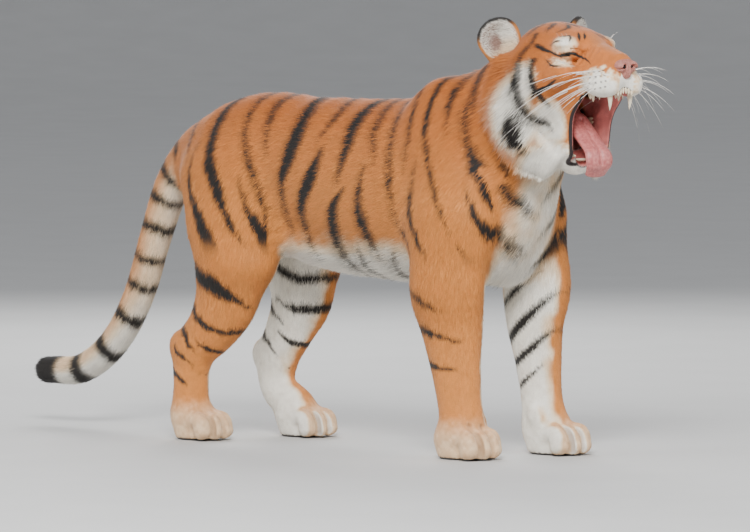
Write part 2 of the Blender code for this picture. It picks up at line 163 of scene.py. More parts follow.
class Oval:
    """An ellipsoid in a turned frame."""

    def __init__(self, rotation, centre, radii, blend, carve):
        self.matrix = Matrix.Translation(centre) @ rotation
        self.radii = np.array(radii, float)
        self.blend = blend
        self.carve = carve

    def moved(self, matrix):
        self.matrix = matrix @ self.matrix
        return self

    def bounds(self, margin):
        centre = np.array(self.matrix.translation)
        reach = self.radii.max() + margin
        return centre - reach, centre + reach

    def distance(self, points):
        turn = np.array(self.matrix.to_3x3())
        q = (points - np.array(self.matrix.translation)) @ turn
        inner = np.sqrt(((q / self.radii) ** 2).sum(axis=1))
        outer = np.sqrt(((q / self.radii**2) ** 2).sum(axis=1)) + 1e-9
        return (inner * (inner - 1) / outer).astype(np.float32)


def oval(centre, radii, turn=(0, 0, 0), blend=0.03, carve=False):
    rotation = Matrix.Rotation(math.radians(turn[2]), 4, "Z")
    rotation @= Matrix.Rotation(math.radians(turn[1]), 4, "Y")
    rotation @= Matrix.Rotation(math.radians(turn[0]), 4, "X")
    return Oval(rotation, Vector(centre), radii, blend, carve)


def melt(a, b, width):
    """The smaller of two distances, with a fillet of that width where they meet."""
    share = np.clip(0.5 + 0.5 * (b - a) / width, 0, 1)
    return b + (a - b) * share - width * share * (1 - share)


def added_to(field, mass, distance):
    """The field with a mass melted into it, or carved out of it."""
    if mass.carve:
        return -melt(-field, distance, mass.blend)
    return melt(field, distance, mass.blend)


def blended(masses, points):
    """The body's field at any points."""
    field = np.full(len(points), FAR, np.float32)
    for mass in masses:
        low, high = mass.bounds(mass.blend + 0.02)
        near = ((points > low) & (points < high)).all(axis=1)
        if near.any():
            field[near] = added_to(field[near], mass, mass.distance(points[near]))
    return field


def surface_of(masses, voxel, inset=0.0):
    """Points and faces of the blended surface, drawn in by `inset`."""
    margin = 3 * voxel
    boxes = [m.bounds(margin) for m in masses if not m.carve]
    low = np.floor(np.min([b[0] for b in boxes], axis=0) / voxel) * voxel
    high = np.max([b[1] for b in boxes], axis=0)
    shape = np.ceil((high - low) / voxel).astype(int) + 1
    field = np.full(shape, FAR, np.float32)
    for mass in masses:
        box = mass.bounds(mass.blend + margin)
        first = np.clip((box[0] - low) / voxel, 0, shape).astype(int)
        last = np.clip((box[1] - low) / voxel + 2, 0, shape).astype(int)
        block = tuple(slice(a, b) for a, b in zip(first, last))
        axes = [low[k] + voxel * np.arange(first[k], last[k]) for k in range(3)]
        places = np.stack(np.meshgrid(*axes, indexing="ij"), axis=-1)
        there = mass.distance(places.reshape(-1, 3)).reshape(places.shape[:3])
        field[block] = added_to(field[block], mass, there)
    grid = openvdb.FloatGrid(FAR)
    grid.copyFromArray(field)
    points, triangles, quads = grid.convertToPolygons(-inset, 0.0)
    return points * voxel + low, [*quads.tolist(), *triangles.tolist()]


def placed(frame, masses):
    """Masses that are laid out in a frame, moved to where the frame is."""
    return [mass.moved(frame) for mass in masses]


def axes_of(frame):
    """A frame's axes as columns."""
    return np.array(frame.to_3x3())


def into(frame, points):
    """Points in a frame's own coordinates."""
    return (points - np.array(frame.translation)) @ axes_of(frame)


def step(value, low, high):
    """0 below low, 1 above high, and a smooth rise between."""
    t = np.clip((value - low) / (high - low), 0, 1)
    return t * t * (3 - 2 * t)


# ---- The masses, as in the solids ---------------------------------------------------------------------
def trunk():
    back, belly = BACK_HEIGHT, BELLY_HEIGHT
    middle, half = (back + belly) / 2, (back - belly) / 2
    return [
        Mass(
            (-0.582, 0, 0.726, 0.104, 0.114),
            (-0.476, 0, 0.755, 0.152, 0.169),
            (-0.26, 0, 0.745, 0.165, 0.2),
            (0.0, 0, middle + 0.002, 0.186, half - 0.008),
            (0.2, 0, middle, 0.194, half + 0.002),
            (0.36, 0, middle + 0.022, 0.172, half),
            (0.47, 0, middle + 0.012, 0.12, half - 0.05),
            blend=0.03,
        ),
        oval((0.432, 0, 0.63), (0.096, 0.14, 0.175), blend=0.06),  # brisket
        oval((-0.17, 0, 0.545), (0.18, 0.12, 0.06), turn=(0, 8, 0), blend=0.06),  # loose belly skin
        oval((-0.4, 0, 0.842), (0.165, 0.115, 0.092), turn=(0, -12, 0), blend=0.06),  # croup
        oval((0.318, 0, 0.902), (0.105, 0.075, 0.077), turn=(0, -10, 0), blend=0.08),  # withers
    ]


def neck():
    return [
        Mass(
            (0.3, 0, 0.8, 0.145, 0.178),
            (0.44, 0, 0.866, 0.142, 0.173),
            (0.56, -0.006, 0.955, 0.128, 0.16),
            (0.65, -0.015, 0.995, 0.112, 0.125),
            blend=0.07,
        ),
    ]


def foreleg(side):
    s, paw = SIDES[side], FORE_PAW_X[side]
    y, lean = s * STANCE, paw - FORE_PAW_X["right"]
    elbow, wrist = 0.36 + 0.75 * lean, 0.392 + 0.7 * lean
    slim = 1 - 1.2 * lean
    return [
        oval((0.31 + 0.1 * lean, s * 0.105, 0.855), (0.11, 0.062, 0.15), turn=(s * 14, -18, 0), blend=0.05),
        oval((0.378 + 0.1 * lean, s * 0.15, 0.65), (0.115, 0.066, 0.14), turn=(s * 4, 22, 0), blend=0.06),
        Mass(
            (elbow + 0.018 - 0.4 * lean, s * 0.148, 0.62, 0.072, 0.118 * slim**2),
            (elbow, s * 0.148, 0.45, 0.076, 0.118 * slim),
            (elbow + 0.006, y, 0.35, 0.068, 0.098 * slim),
            (0.5 * (elbow + wrist) + 0.002, y, 0.26, 0.06, 0.079 * slim),
            (wrist, y, 0.16, 0.055, 0.065 * slim),
            (wrist + 0.01, y, 0.095, 0.056, 0.064),
            blend=0.05,
        ),
        *paw_masses(paw, y, 0.096, 1.0),
        oval((wrist + 0.022, y - s * 0.056, 0.105), (0.02, 0.014, 0.03), turn=(0, -25, 0), blend=0.02),
    ]


def hindleg(side):
    s, paw = SIDES[side], HIND_PAW_X[side]
    y, lean = s * (STANCE - 0.005), paw - HIND_PAW_X["right"]
    hock_x, hock_z = -0.56 + 0.5 * lean, 0.25 - 0.2 * lean
    knee = -0.37 + 0.12 * lean
    return [
        Mass(
            (-0.45, s * 0.098, 0.735, 0.086, 0.156),
            (-0.412 + 0.05 * lean, s * 0.124, 0.6, 0.082, 0.158),
            (knee - 0.02, s * 0.13, 0.49, 0.074, 0.128),
            blend=0.06,
        ),
        Mass(
            (knee - 0.02, s * 0.132, 0.49, 0.07, 0.112),
            (knee - 0.062 + 0.2 * lean, y, 0.385, 0.062, 0.104),
            (knee - 0.112 + 0.3 * lean, y, 0.31, 0.055, 0.082),
            (hock_x + 0.014, y, hock_z + 0.005, 0.048, 0.066),
            blend=0.05,
        ),
        Mass(
            (hock_x, y, hock_z - 0.005, 0.045, 0.062),
            (hock_x + 0.2 * (paw - hock_x) - 0.008, y, 0.6 * hock_z, 0.044, 0.055),
            (paw - 0.048, y, 0.085, 0.048, 0.056),
            blend=0.03,
        ),
        oval((hock_x - 0.036, y, hock_z + 0.006), (0.03, 0.026, 0.036), turn=(0, -20, 0), blend=0.03),
        *paw_masses(paw, y, 0.086, 0.94),
    ]


def paw_masses(x, y, length, size):
    """A paw round x, y: a pad, and four toes whose knuckles arch over it."""
    toes = [
        Mass(
            (x - 0.01, y + across * size * 0.75, 0.058, 0.024 * size, 0.026 * size),
            (x + 0.75 * reach * size, y + across * size * 0.95, 0.055 * size, 0.024 * size, 0.027 * size),
            (x + reach * size, y + across * size, 0.024, 0.0235 * size, 0.026 * size),
            blend=0.012,
        )
        for across, reach in ((-0.052, 0.04), (-0.019, 0.062), (0.019, 0.062), (0.052, 0.04))
    ]
    return [
        oval((x - 0.03, y, 0.05), (length * 0.8, 0.064 * size, 0.056), blend=0.03),
        oval((x - 0.02, y, 0.014), (length * 0.75, 0.058 * size, 0.03), blend=0.02),
        *toes,
    ]


def tail():
    return [
        Mass(
            (-0.52, 0, 0.8, 0.062, 0.075),
            (-0.64, 0, 0.79, 0.058, 0.065),
            (-0.74, 0, 0.69, 0.052, 0.054),
            (-0.805, 0, 0.545, 0.047, 0.048),
            (-0.868, 0, 0.38, 0.046, 0.046),
            (-0.958, 0, 0.245, 0.045, 0.045),
            (-1.08, 0, 0.163, 0.044, 0.044),
            (-1.212, 0, 0.152, 0.041, 0.041),
            blend=0.05,
        )
    ]


# ---- The head and the jaw, each in its own frame ------------------------------------------------------
def skull():
    masses = [
        oval((-0.29, 0, 0.092), (0.115, 0.112, 0.098), blend=0.03),  # braincase
        oval((-0.2, 0, 0.112), (0.09, 0.084, 0.058), turn=(0, 14, 0), blend=0.03),  # forehead
        Mass(  # bridge of the nose
            (-0.17, 0, 0.112, 0.044, 0.036),
            (-0.095, 0, 0.09, 0.037, 0.031),
            (-0.026, 0, 0.071, 0.029, 0.023),
            blend=0.025,
        ),
        Mass(  # muzzle
            (-0.19, 0, 0.05, 0.084, 0.058),
            (-0.11, 0, 0.038, 0.064, 0.05),
            (-0.045, 0, 0.03, 0.052, 0.042),
            blend=0.03,
        ),
        oval((-0.012, 0, 0.056), (0.019, 0.031, 0.023), turn=(0, 20, 0), blend=0.012),  # nose pad
    ]
    for s in SIDES.values():
        masses += [  # cheekbone, whisker pad, brow, eye socket, cheek and ruff
            oval((-0.19, s * 0.088, 0.05), (0.085, 0.038, 0.044), turn=(0, 6, s * 10), blend=0.04),
            oval((-0.054, s * 0.038, 0.017), (0.057, 0.04, 0.036), turn=(0, 4, s * -8), blend=0.018),
            oval((-0.166, s * 0.058, 0.122), (0.038, 0.027, 0.02), turn=(0, 8, s * -25), blend=0.02),
            oval((-0.138, s * 0.08, 0.096), (0.034, 0.02, 0.02), (0, 10, s * -24), blend=0.02, carve=True),
            oval((-0.285, s * 0.102, 0.005), (0.085, 0.055, 0.1), turn=(s * -10, 0, 0), blend=0.05),
            Mass(
                (-0.345, s * 0.128, 0.085, 0.022, 0.03),
                (-0.345, s * 0.15, -0.02, 0.03, 0.048),
                (-0.3, s * 0.124, -0.12, 0.028, 0.052),
                (-0.245, s * 0.08, -0.19, 0.022, 0.04),
                side=(0.35, s * 0.94, 0),
                blend=0.03,
            ),
        ]
    return masses


def jaw():
    masses = [
        oval((0.212, 0, -0.006), (0.036, 0.046, 0.034), blend=0.025),  # chin
        Mass(  # floor of the mouth
            (0.03, 0, -0.045, 0.085, 0.034),
            (0.12, 0, -0.034, 0.062, 0.026),
            (0.2, 0, -0.014, 0.036, 0.022),
            blend=0.03,
        ),
    ]
    for s in SIDES.values():  # the two rami
        masses.append(
            Mass(
                (-0.01, s * 0.098, 0.0, 0.034, 0.05),
                (0.07, s * 0.078, -0.01, 0.026, 0.036),
                (0.15, s * 0.056, -0.004, 0.02, 0.028),
                (0.21, s * 0.028, 0.004, 0.02, 0.024),
                blend=0.025,
            )
        )
    return masses


def cheeks():
    """The skin that the gape stretches between the jaws."""
    return [
        Mass(
            (-0.142, s * 0.068, 0.004, 0.018, 0.04),
            (-0.185, s * 0.066, -0.038, 0.017, 0.042),
            (-0.204, s * 0.064, -0.082, 0.017, 0.043),
            (-0.211, s * 0.062, -0.124, 0.017, 0.043),
            (-0.206, s * 0.057, -0.158, 0.015, 0.034),
            blend=0.03,
        )
        for s in SIDES.values()
    ]


def body_masses():
    masses = [*trunk(), *neck(), *tail()]
    for side in SIDES:
        masses += foreleg(side) + hindleg(side)
    return masses + placed(HEAD, skull() + cheeks()) + placed(JAW, jaw())


# ---- Forms that only the skin has ---------------------------------------------------------------------
def line_mass(rows, radius, side=(0, 0, 1), blend=0.006, carve=True):
    """A fine round groove or ridge along some places."""
    return Mass(*((*row, radius, radius) for row in rows), side=side, blend=blend, carve=carve)


def head_folds():
    """Lids and folds, in the head's frame."""
    masses = []
    for s in SIDES.values():
        eye = (EYE_AT.x, s * EYE_AT.y, EYE_AT.z)
        shut = [(-0.181, s * 0.094, 0.103), (-0.152, s * 0.085, 0.096), (-0.121, s * 0.051, 0.094)]
        bag = [(-0.19, s * 0.108, 0.094), (-0.158, s * 0.101, 0.082), (-0.126, s * 0.078, 0.078)]
        upper = [(-0.176, s * 0.082, 0.118), (-0.148, s * 0.075, 0.113), (-0.124, s * 0.052, 0.103)]
        masses += [  # lids, the fold of the brow, the grooves round the eye, and the lip
            oval(eye, (0.027, 0.0195, 0.019), turn=(0, 10, s * -24), blend=0.007),
            oval((-0.16, s * 0.066, 0.124), (0.034, 0.02, 0.013), turn=(0, 10, s * -28), blend=0.012),
            line_mass(shut, 0.003),
            line_mass(bag, 0.0022),
            line_mass(upper, 0.0022),
            oval((-0.048, s * 0.04, 0.002), (0.046, 0.028, 0.02), turn=(0, 6, s * -8), blend=0.012),
        ]
        for i in range(4):  # wrinkles that the gape makes along the nose
            x = -0.088 - 0.017 * i
            top = 0.105 + 0.006 * i
            rows = [(x + 0.006, s * 0.026, top), (x, s * 0.047, 0.089), (x - 0.008, s * 0.063, 0.068)]
            masses.append(line_mass(rows, 0.0026, side=(1, 0, 0), blend=0.01))
        for i in range(3):  # rows of the whisker pad
            rows = [(-0.01, s * 0.044, 0.036 - 0.013 * i), (-0.06, s * 0.08, 0.042 - 0.015 * i)]
            masses.append(line_mass(rows, 0.0018, blend=0.008))
    cleft = [(0.012, 0, 0.04), (0.003, 0, 0.012), (-0.008, 0, -0.01)]
    masses.append(line_mass(cleft, 0.0026, side=(1, 0, 0)))
    return masses


def toe_gaps():
    """Grooves between the toes."""
    groove = [  # x, z and radius
        (0.034, 0.094, 0.001),
        (0.05, 0.08, 0.003),
        (0.067, 0.064, 0.0052),
        (0.078, 0.04, 0.0055),
        (0.08, 0.01, 0.0055),
    ]
    masses = []
    for paw_x, size, out in ((FORE_PAW_X, 1.0, STANCE), (HIND_PAW_X, 0.94, STANCE - 0.005)):
        for side, s in SIDES.items():
            for across, back in ((-0.0355, 0.009), (0, 0), (0.0355, 0.009)):
                y = s * out + across * size
                rows = [(paw_x[side] + (x - back) * size, y, z, r, r) for x, z, r in groove]
                masses.append(Mass(*rows, blend=0.01, carve=True))
    return masses


def roof_of_mouth():
    """The hollow under the palate, in the head's frame."""
    return [
        Mass(
            (-0.22, 0, -0.03, 0.05, 0.045),
            (-0.12, 0, -0.022, 0.042, 0.034),
            (-0.05, 0, -0.016, 0.031, 0.024),
            (-0.022, 0, -0.018, 0.02, 0.016),
            blend=0.01,
            carve=True,
        ),
        oval((-0.245, 0, -0.07), (0.075, 0.046, 0.075), blend=0.02, carve=True),  # throat
    ]


def floor_of_mouth():
    """The hollow between the rami, in the jaw's frame."""
    return [
        Mass(
            (0.04, 0, 0.045, 0.05, 0.048),
            (0.12, 0, 0.03, 0.04, 0.034),
            (0.18, 0, 0.026, 0.029, 0.026),
            (0.208, 0, 0.03, 0.022, 0.022),
            blend=0.01,
            carve=True,
        )
    ]


def mouth_masses():
    return placed(HEAD, roof_of_mouth()) + placed(JAW, floor_of_mouth())


def lips():
    """The rims of the mouth, from under the whisker pads down the cheeks and round the lower jaw."""
    masses = []
    for s in SIDES.values():
        rows = [
            (-0.106, s * 0.064, -0.016),
            (-0.126, s * 0.066, -0.034),
            (-0.147, s * 0.066, -0.056),
            (-0.16, s * 0.064, -0.084),
            (-0.166, s * 0.062, -0.116),
            (-0.17, s * 0.059, -0.144),
            (-0.175, s * 0.056, -0.16),
            (-0.184, s * 0.053, -0.171),
            (-0.196, s * 0.051, -0.175),
        ]
        masses += placed(HEAD, [line_mass(rows, LIP_RADIUS, side=(0, 1, 0), carve=False)])
        rows = [(0.216, 0.051, 0.03), (0.222, 0.045, 0.021), (0.224, 0.028, 0.02), (0.225, 0, 0.023)]
        rows = [(x, s * y, z) for x, y, z in rows]
        masses += placed(JAW, [line_mass(rows, LIP_RADIUS, carve=False)])
    return masses


def skin_masses():
    return body_masses() + toe_gaps() + placed(HEAD, head_folds()) + lips() + mouth_masses()


def regions():
    """The masses of each part of the body, to tell which part a place is nearest."""
    found = {"trunk": trunk(), "neck": neck(), "tail": tail()}
    for side in SIDES:
        found[f"fore_{side}"] = foreleg(side)
        found[f"hind_{side}"] = hindleg(side)
    found["head"] = placed(HEAD, [m for m in skull() + cheeks() if not m.carve])
    found["jaw"] = placed(JAW, jaw())
    return found


def nearness(points):
    """How much each place belongs to each part, summing to 1."""
    gaps = {name: blended(masses, points) for name, masses in regions().items()}
    least = np.min(list(gaps.values()), axis=0)
    weights = {name: np.exp(-(gap - least) / 0.012) for name, gap in gaps.items()}
    total = np.sum(list(weights.values()), axis=0)
    return {name: weight / total for name, weight in weights.items()}


def share_of_legs(near):
    return sum(near[name] for name in near if name[:4] in ("fore", "hind"))


# ---- Markings -----------------------------------------------------------------------------------------
DEEP_ORANGE = np.array((0.47, 0.135, 0.022))
ORANGE = np.array((0.62, 0.225, 0.045))
BRIDGE = np.array((0.42, 0.15, 0.045))
CREAM = np.array((0.8, 0.6, 0.38))
WHITE = np.array((0.84, 0.8, 0.71))
BLACK = np.array((0.013, 0.01, 0.008))
LIP = np.array((0.018, 0.012, 0.012))
LID = np.array((0.1, 0.045, 0.02))
# painted shade for the grooves between the toes
PAINTED_CREASE_SHADE = np.array((0.22, 0.11, 0.05))
MUCOSA = np.array((0.55, 0.17, 0.15))
PAD_SKIN = np.array((0.035, 0.026, 0.024))
EAR_SKIN = np.array((0.3, 0.17, 0.13))

# The line of the body's axis: x, height, half-width, half-height.
AXIS = np.array(
    [
        (-0.565, 0.73, 0.095, 0.11),
        (-0.47, 0.755, 0.148, 0.168),
        (-0.26, 0.745, 0.165, 0.2),
        (0.0, 0.705, 0.186, 0.24),
        (0.2, 0.703, 0.19, 0.25),
        (0.3, 0.74, 0.18, 0.24),
        (0.44, 0.84, 0.155, 0.2),
        (0.56, 0.93, 0.13, 0.165),
        (0.65, 0.985, 0.115, 0.13),
    ]
)

# Each stripe of the body: x, height up the side (over the back, the way round it), half-width.
BODY_STRIPES = [
    [(-0.62, 0.87, 0.016), (-0.6, 0.81, 0.009), (-0.56, 0.74, 0.001)],
    [(-0.53, 0.79, 0.002), (-0.53, 0.69, 0.01), (-0.48, 0.61, 0.019), (-0.42, 0.53, 0.022),
     (-0.31, 0.41, 0.002)],
    [(-0.46, 1.0, 0.02), (-0.47, 0.82, 0.02), (-0.42, 0.7, 0.02), (-0.37, 0.61, 0.009), (-0.31, 0.53, 0.001)],
    [(-0.35, 0.73, 0.001), (-0.32, 0.65, 0.007), (-0.28, 0.58, 0.014), (-0.27, 0.5, 0.001)],
    [(-0.36, 1.02, 0.012), (-0.36, 0.86, 0.008), (-0.32, 0.76, 0.009), (-0.28, 0.67, 0.007),
     (-0.26, 0.58, 0.001)],
    [(-0.29, 1.03, 0.012), (-0.29, 0.88, 0.01), (-0.27, 0.77, 0.001)],
    [(-0.19, 1.04, 0.016), (-0.17, 0.88, 0.024), (-0.18, 0.79, 0.025), (-0.21, 0.7, 0.012),
     (-0.2, 0.56, 0.001)],
    [(-0.06, 0.82, 0.001), (-0.09, 0.74, 0.021), (-0.14, 0.65, 0.017), (-0.14, 0.58, 0.01),
     (-0.12, 0.5, 0.001)],
    [(-0.08, 1.04, 0.012), (-0.06, 0.91, 0.01), (-0.1, 0.81, 0.001)],
    [(0.04, 1.04, 0.014), (0.02, 0.88, 0.023), (0.02, 0.81, 0.018), (0.0, 0.7, 0.001)],
    [(0.03, 0.71, 0.001), (-0.02, 0.64, 0.018), (-0.03, 0.57, 0.02), (-0.03, 0.51, 0.012),
     (0.0, 0.44, 0.004)],
    [(0.1, 0.78, 0.001), (0.08, 0.67, 0.013), (0.09, 0.6, 0.02), (0.11, 0.5, 0.001)],
    [(0.09, 1.04, 0.01), (0.1, 0.87, 0.01), (0.13, 0.76, 0.001)],
    [(0.15, 1.04, 0.01), (0.17, 0.85, 0.008), (0.19, 0.72, 0.009), (0.21, 0.62, 0.004), (0.27, 0.53, 0.008)],
    [(0.22, 1.03, 0.01), (0.24, 0.85, 0.007), (0.24, 0.74, 0.001)],
    [(0.05, 0.57, 0.001), (0.03, 0.5, 0.009), (0.06, 0.44, 0.006)],
    [(0.17, 0.55, 0.001), (0.14, 0.48, 0.009), (0.18, 0.43, 0.005)],
    [(0.28, 0.78, 0.001), (0.27, 0.68, 0.009), (0.29, 0.61, 0.013), (0.36, 0.51, 0.001)],
    [(0.31, 1.06, 0.012), (0.3, 0.86, 0.009), (0.33, 0.77, 0.009), (0.37, 0.69, 0.006), (0.43, 0.59, 0.001)],
    [(0.37, 0.52, 0.001), (0.39, 0.46, 0.008), (0.44, 0.41, 0.001)],
    [(0.36, 1.05, 0.012), (0.36, 0.92, 0.009), (0.37, 0.84, 0.001)],
    [(0.41, 1.1, 0.014), (0.42, 0.98, 0.014), (0.43, 0.88, 0.001)],
    [(0.4, 0.94, 0.002), (0.42, 0.86, 0.009), (0.46, 0.78, 0.013), (0.51, 0.69, 0.016), (0.54, 0.58, 0.001)],
    [(0.5, 0.84, 0.001), (0.53, 0.75, 0.009), (0.55, 0.69, 0.008), (0.56, 0.62, 0.001)],
    [(0.45, 0.71, 0.001), (0.49, 0.63, 0.009), (0.51, 0.57, 0.011), (0.5, 0.49, 0.002)],
    [(0.44, 0.57, 0.001), (0.47, 0.51, 0.009), (0.48, 0.46, 0.004)],
    [(0.5, 1.15, 0.012), (0.5, 1.0, 0.01), (0.51, 0.9, 0.001)],
]

# Stripes across the front of the chest: y, height, half-width.
CHEST_STRIPES = [
    [(0.09, 0.78, 0.004), (0.04, 0.73, 0.01), (-0.02, 0.68, 0.001)],
    [(0.12, 0.69, 0.008), (0.07, 0.63, 0.013), (0.0, 0.58, 0.001)],
    [(0.12, 0.58, 0.008), (0.09, 0.53, 0.013), (0.03, 0.48, 0.001)],
    [(-0.12, 0.72, 0.008), (-0.08, 0.67, 0.012), (-0.02, 0.63, 0.001)],
    [(-0.13, 0.61, 0.008), (-0.08, 0.56, 0.012), (-0.02, 0.52, 0.001)],
]

# Stripes of each leg: x, height, half-width.
LEG_STRIPES = {
    "fore_right": [
        [(0.25, 0.44, 0.008), (0.33, 0.41, 0.008), (0.39, 0.38, 0.001)],
        [(0.26, 0.34, 0.013), (0.34, 0.33, 0.01), (0.43, 0.31, 0.001)],
        [(0.29, 0.25, 0.011), (0.37, 0.24, 0.007), (0.42, 0.24, 0.001)],
    ],
    "fore_left": [
        [(0.34, 0.38, 0.008), (0.42, 0.44, 0.009), (0.5, 0.5, 0.001)],
        [(0.38, 0.3, 0.013), (0.45, 0.36, 0.013), (0.53, 0.44, 0.001)],
        [(0.4, 0.24, 0.011), (0.46, 0.28, 0.01), (0.52, 0.34, 0.001)],
        [(0.42, 0.18, 0.008), (0.46, 0.21, 0.005), (0.49, 0.24, 0.001)],
    ],
    "hind_right": [
        [(-0.56, 0.48, 0.012), (-0.48, 0.45, 0.025), (-0.41, 0.42, 0.026), (-0.33, 0.37, 0.002)],
        [(-0.57, 0.41, 0.012), (-0.49, 0.33, 0.01), (-0.42, 0.3, 0.008), (-0.36, 0.3, 0.006)],
        [(-0.59, 0.33, 0.006), (-0.54, 0.28, 0.008), (-0.51, 0.24, 0.001)],
        [(-0.58, 0.27, 0.001), (-0.57, 0.24, 0.008), (-0.52, 0.2, 0.001)],
        [(-0.62, 0.19, 0.008), (-0.57, 0.17, 0.006), (-0.54, 0.15, 0.001)],
        [(-0.5, 0.27, 0.001), (-0.47, 0.25, 0.007), (-0.43, 0.24, 0.003)],
        [(-0.51, 0.18, 0.001), (-0.48, 0.17, 0.007)],
    ],
    "hind_left": [
        [(-0.45, 0.5, 0.006), (-0.36, 0.44, 0.013), (-0.26, 0.44, 0.01)],
        [(-0.44, 0.38, 0.001), (-0.35, 0.35, 0.013), (-0.27, 0.36, 0.012)],
        [(-0.43, 0.29, 0.001), (-0.39, 0.26, 0.01), (-0.34, 0.25, 0.008)],
        [(-0.42, 0.19, 0.001), (-0.38, 0.18, 0.008)],
        [(-0.52, 0.38, 0.008), (-0.46, 0.35, 0.01), (-0.4, 0.31, 0.001)],
        [(-0.52, 0.29, 0.006), (-0.47, 0.26, 0.008), (-0.43, 0.22, 0.001)],
    ],
}

# Rings of the tail: the way along it, half-width.
TAIL_RINGS = [
    (0.16, 0.012),
    (0.235, 0.014),
    (0.31, 0.012),
    (0.395, 0.016),
    (0.49, 0.012),
    (0.57, 0.014),
    (0.67, 0.018),
    (0.79, 0.02),
    (0.91, 0.024),
]
TAIL_TIP = 0.985

# Marks of the head, one side of it: x, y, z in its frame, half-width. They are matched by direction.
HEAD_STRIPES = [
    [(-0.185, 0.096, 0.104, 0.003), (-0.152, 0.083, 0.096, 0.0042), (-0.12, 0.05, 0.094, 0.0035)],  # eye
    [(-0.12, 0.05, 0.094, 0.0036), (-0.106, 0.046, 0.082, 0.0026), (-0.094, 0.045, 0.067, 0.0005)],  # tear
    [(-0.249, 0.1, 0.128, 0.008), (-0.215, 0.1, 0.115, 0.007), (-0.18, 0.095, 0.104, 0.002)],
    [(-0.193, 0.115, 0.088, 0.001), (-0.16, 0.122, 0.07, 0.0035), (-0.13, 0.112, 0.066, 0.001)],  # bag
    [
        (-0.23, 0.13, 0.09, 0.008),
        (-0.222, 0.145, 0.045, 0.01),
        (-0.216, 0.141, 0.01, 0.011),
        (-0.205, 0.13, -0.02, 0.008),
        (-0.198, 0.112, -0.054, 0.0005),
    ],
    [(-0.212, 0.135, 0.004, 0.009), (-0.18, 0.123, 0.015, 0.006), (-0.135, 0.11, 0.04, 0.0005)],
    [(-0.216, 0.14, 0.012, 0.006), (-0.235, 0.142, -0.026, 0.0005)],
    [
        (-0.275, 0.112, 0.13, 0.005),
        (-0.272, 0.143, 0.09, 0.007),
        (-0.271, 0.158, 0.044, 0.011),
        (-0.274, 0.158, 0.0, 0.012),
        (-0.262, 0.142, -0.05, 0.011),
        (-0.24, 0.12, -0.08, 0.008),
        (-0.216, 0.092, -0.125, 0.0005),
    ],
    [(-0.278, 0.158, 0.04, 0.008), (-0.308, 0.167, -0.012, 0.0005)],
    [(-0.262, 0.15, -0.04, 0.007), (-0.29, 0.158, -0.075, 0.0005)],
    [(-0.305, 0.165, -0.05, 0.001), (-0.298, 0.156, -0.1, 0.007), (-0.266, 0.127, -0.157, 0.001)],
    [(-0.274, 0.081, 0.16, 0.0065), (-0.27, 0.101, 0.138, 0.005), (-0.27, 0.108, 0.124, 0.0005)],
    [(-0.262, 0.025, 0.182, 0.006), (-0.25, 0.045, 0.175, 0.0075), (-0.245, 0.074, 0.156, 0.0005)],
    [(-0.222, 0.012, 0.172, 0.006), (-0.2, 0.03, 0.166, 0.007), (-0.212, 0.062, 0.157, 0.0005)],
    [(-0.187, 0.074, 0.144, 0.0005), (-0.166, 0.062, 0.147, 0.0052), (-0.16, 0.05, 0.15, 0.0005)],
    [(-0.204, 0.09, 0.125, 0.001), (-0.178, 0.086, 0.13, 0.0034), (-0.156, 0.08, 0.128, 0.0005)],
    [(-0.17, 0.052, 0.15, 0.0005), (-0.152, 0.06, 0.138, 0.004), (-0.143, 0.072, 0.124, 0.0005)],
    [(-0.164, 0.026, 0.158, 0.0005), (-0.144, 0.038, 0.142, 0.005), (-0.13, 0.049, 0.127, 0.0005)],
    [(-0.152, 0.014, 0.155, 0.0005), (-0.138, 0.024, 0.144, 0.0046), (-0.126, 0.034, 0.133, 0.0005)],
    [(-0.3, 0.02, 0.19, 0.007), (-0.305, 0.06, 0.182, 0.008), (-0.315, 0.09, 0.16, 0.001)],
    [(-0.345, 0.01, 0.19, 0.008), (-0.35, 0.05, 0.18, 0.008), (-0.36, 0.08, 0.16, 0.001)],
    [(-0.19, 0.0, 0.172, 0.003), (-0.23, 0.0, 0.178, 0.005), (-0.27, 0.0, 0.186, 0.001)],
]
HEAD_CENTRE = Vector((-0.215, 0, 0.04))
MARKS_RADIUS = 0.15

# Pale parts of the head, one side of it: centre, radii, how pale, how much of it is solid.
HEAD_PALE = [
    ((-0.05, 0.048, 0.008), (0.07, 0.054, 0.053), 1.0, 0.55),  # whisker pad
    ((0.0, 0.0, 0.008), (0.034, 0.034, 0.038), 1.0, 0.6),  # between the pads
    ((-0.157, 0.076, 0.126), (0.052, 0.038, 0.035), 0.92, 0.1),  # over the eye
    ((-0.147, 0.098, 0.076), (0.052, 0.034, 0.027), 0.9, 0.1),  # under the eye
    ((-0.255, 0.14, 0.03), (0.05, 0.045, 0.06), 0.9, 0.6),  # cheek
    ((-0.3, 0.15, -0.06), (0.075, 0.07, 0.11), 1.0, 0.6),  # ruff
    ((-0.215, 0.1, -0.08), (0.06, 0.05, 0.075), 0.9, 0.6),
    ((-0.25, 0.06, -0.2), (0.11, 0.11, 0.09), 1.0, 0.6),  # throat
]


def noise(points, size, seed):
    """Smooth noise from -1 to 1 with features of about that size."""
    period = 32
    lattice = np.random.default_rng(seed).uniform(-1, 1, (period,) * 3)
    at = np.asarray(points, float) / size
    if at.shape[1] == 2:
        at = np.hstack([at, np.zeros((len(at), 1))])
    cell = np.floor(at).astype(int)
    t = at - cell
    t = t * t * (3 - 2 * t)
    total = np.zeros(len(at))
    for corner in np.ndindex(2, 2, 2):
        weight = np.ones(len(at))
        for k in range(3):
            weight *= t[:, k] if corner[k] else 1 - t[:, k]
        index = [(cell[:, k] + corner[k]) % period for k in range(3)]
        total += weight * lattice[index[0], index[1], index[2]]
    return total


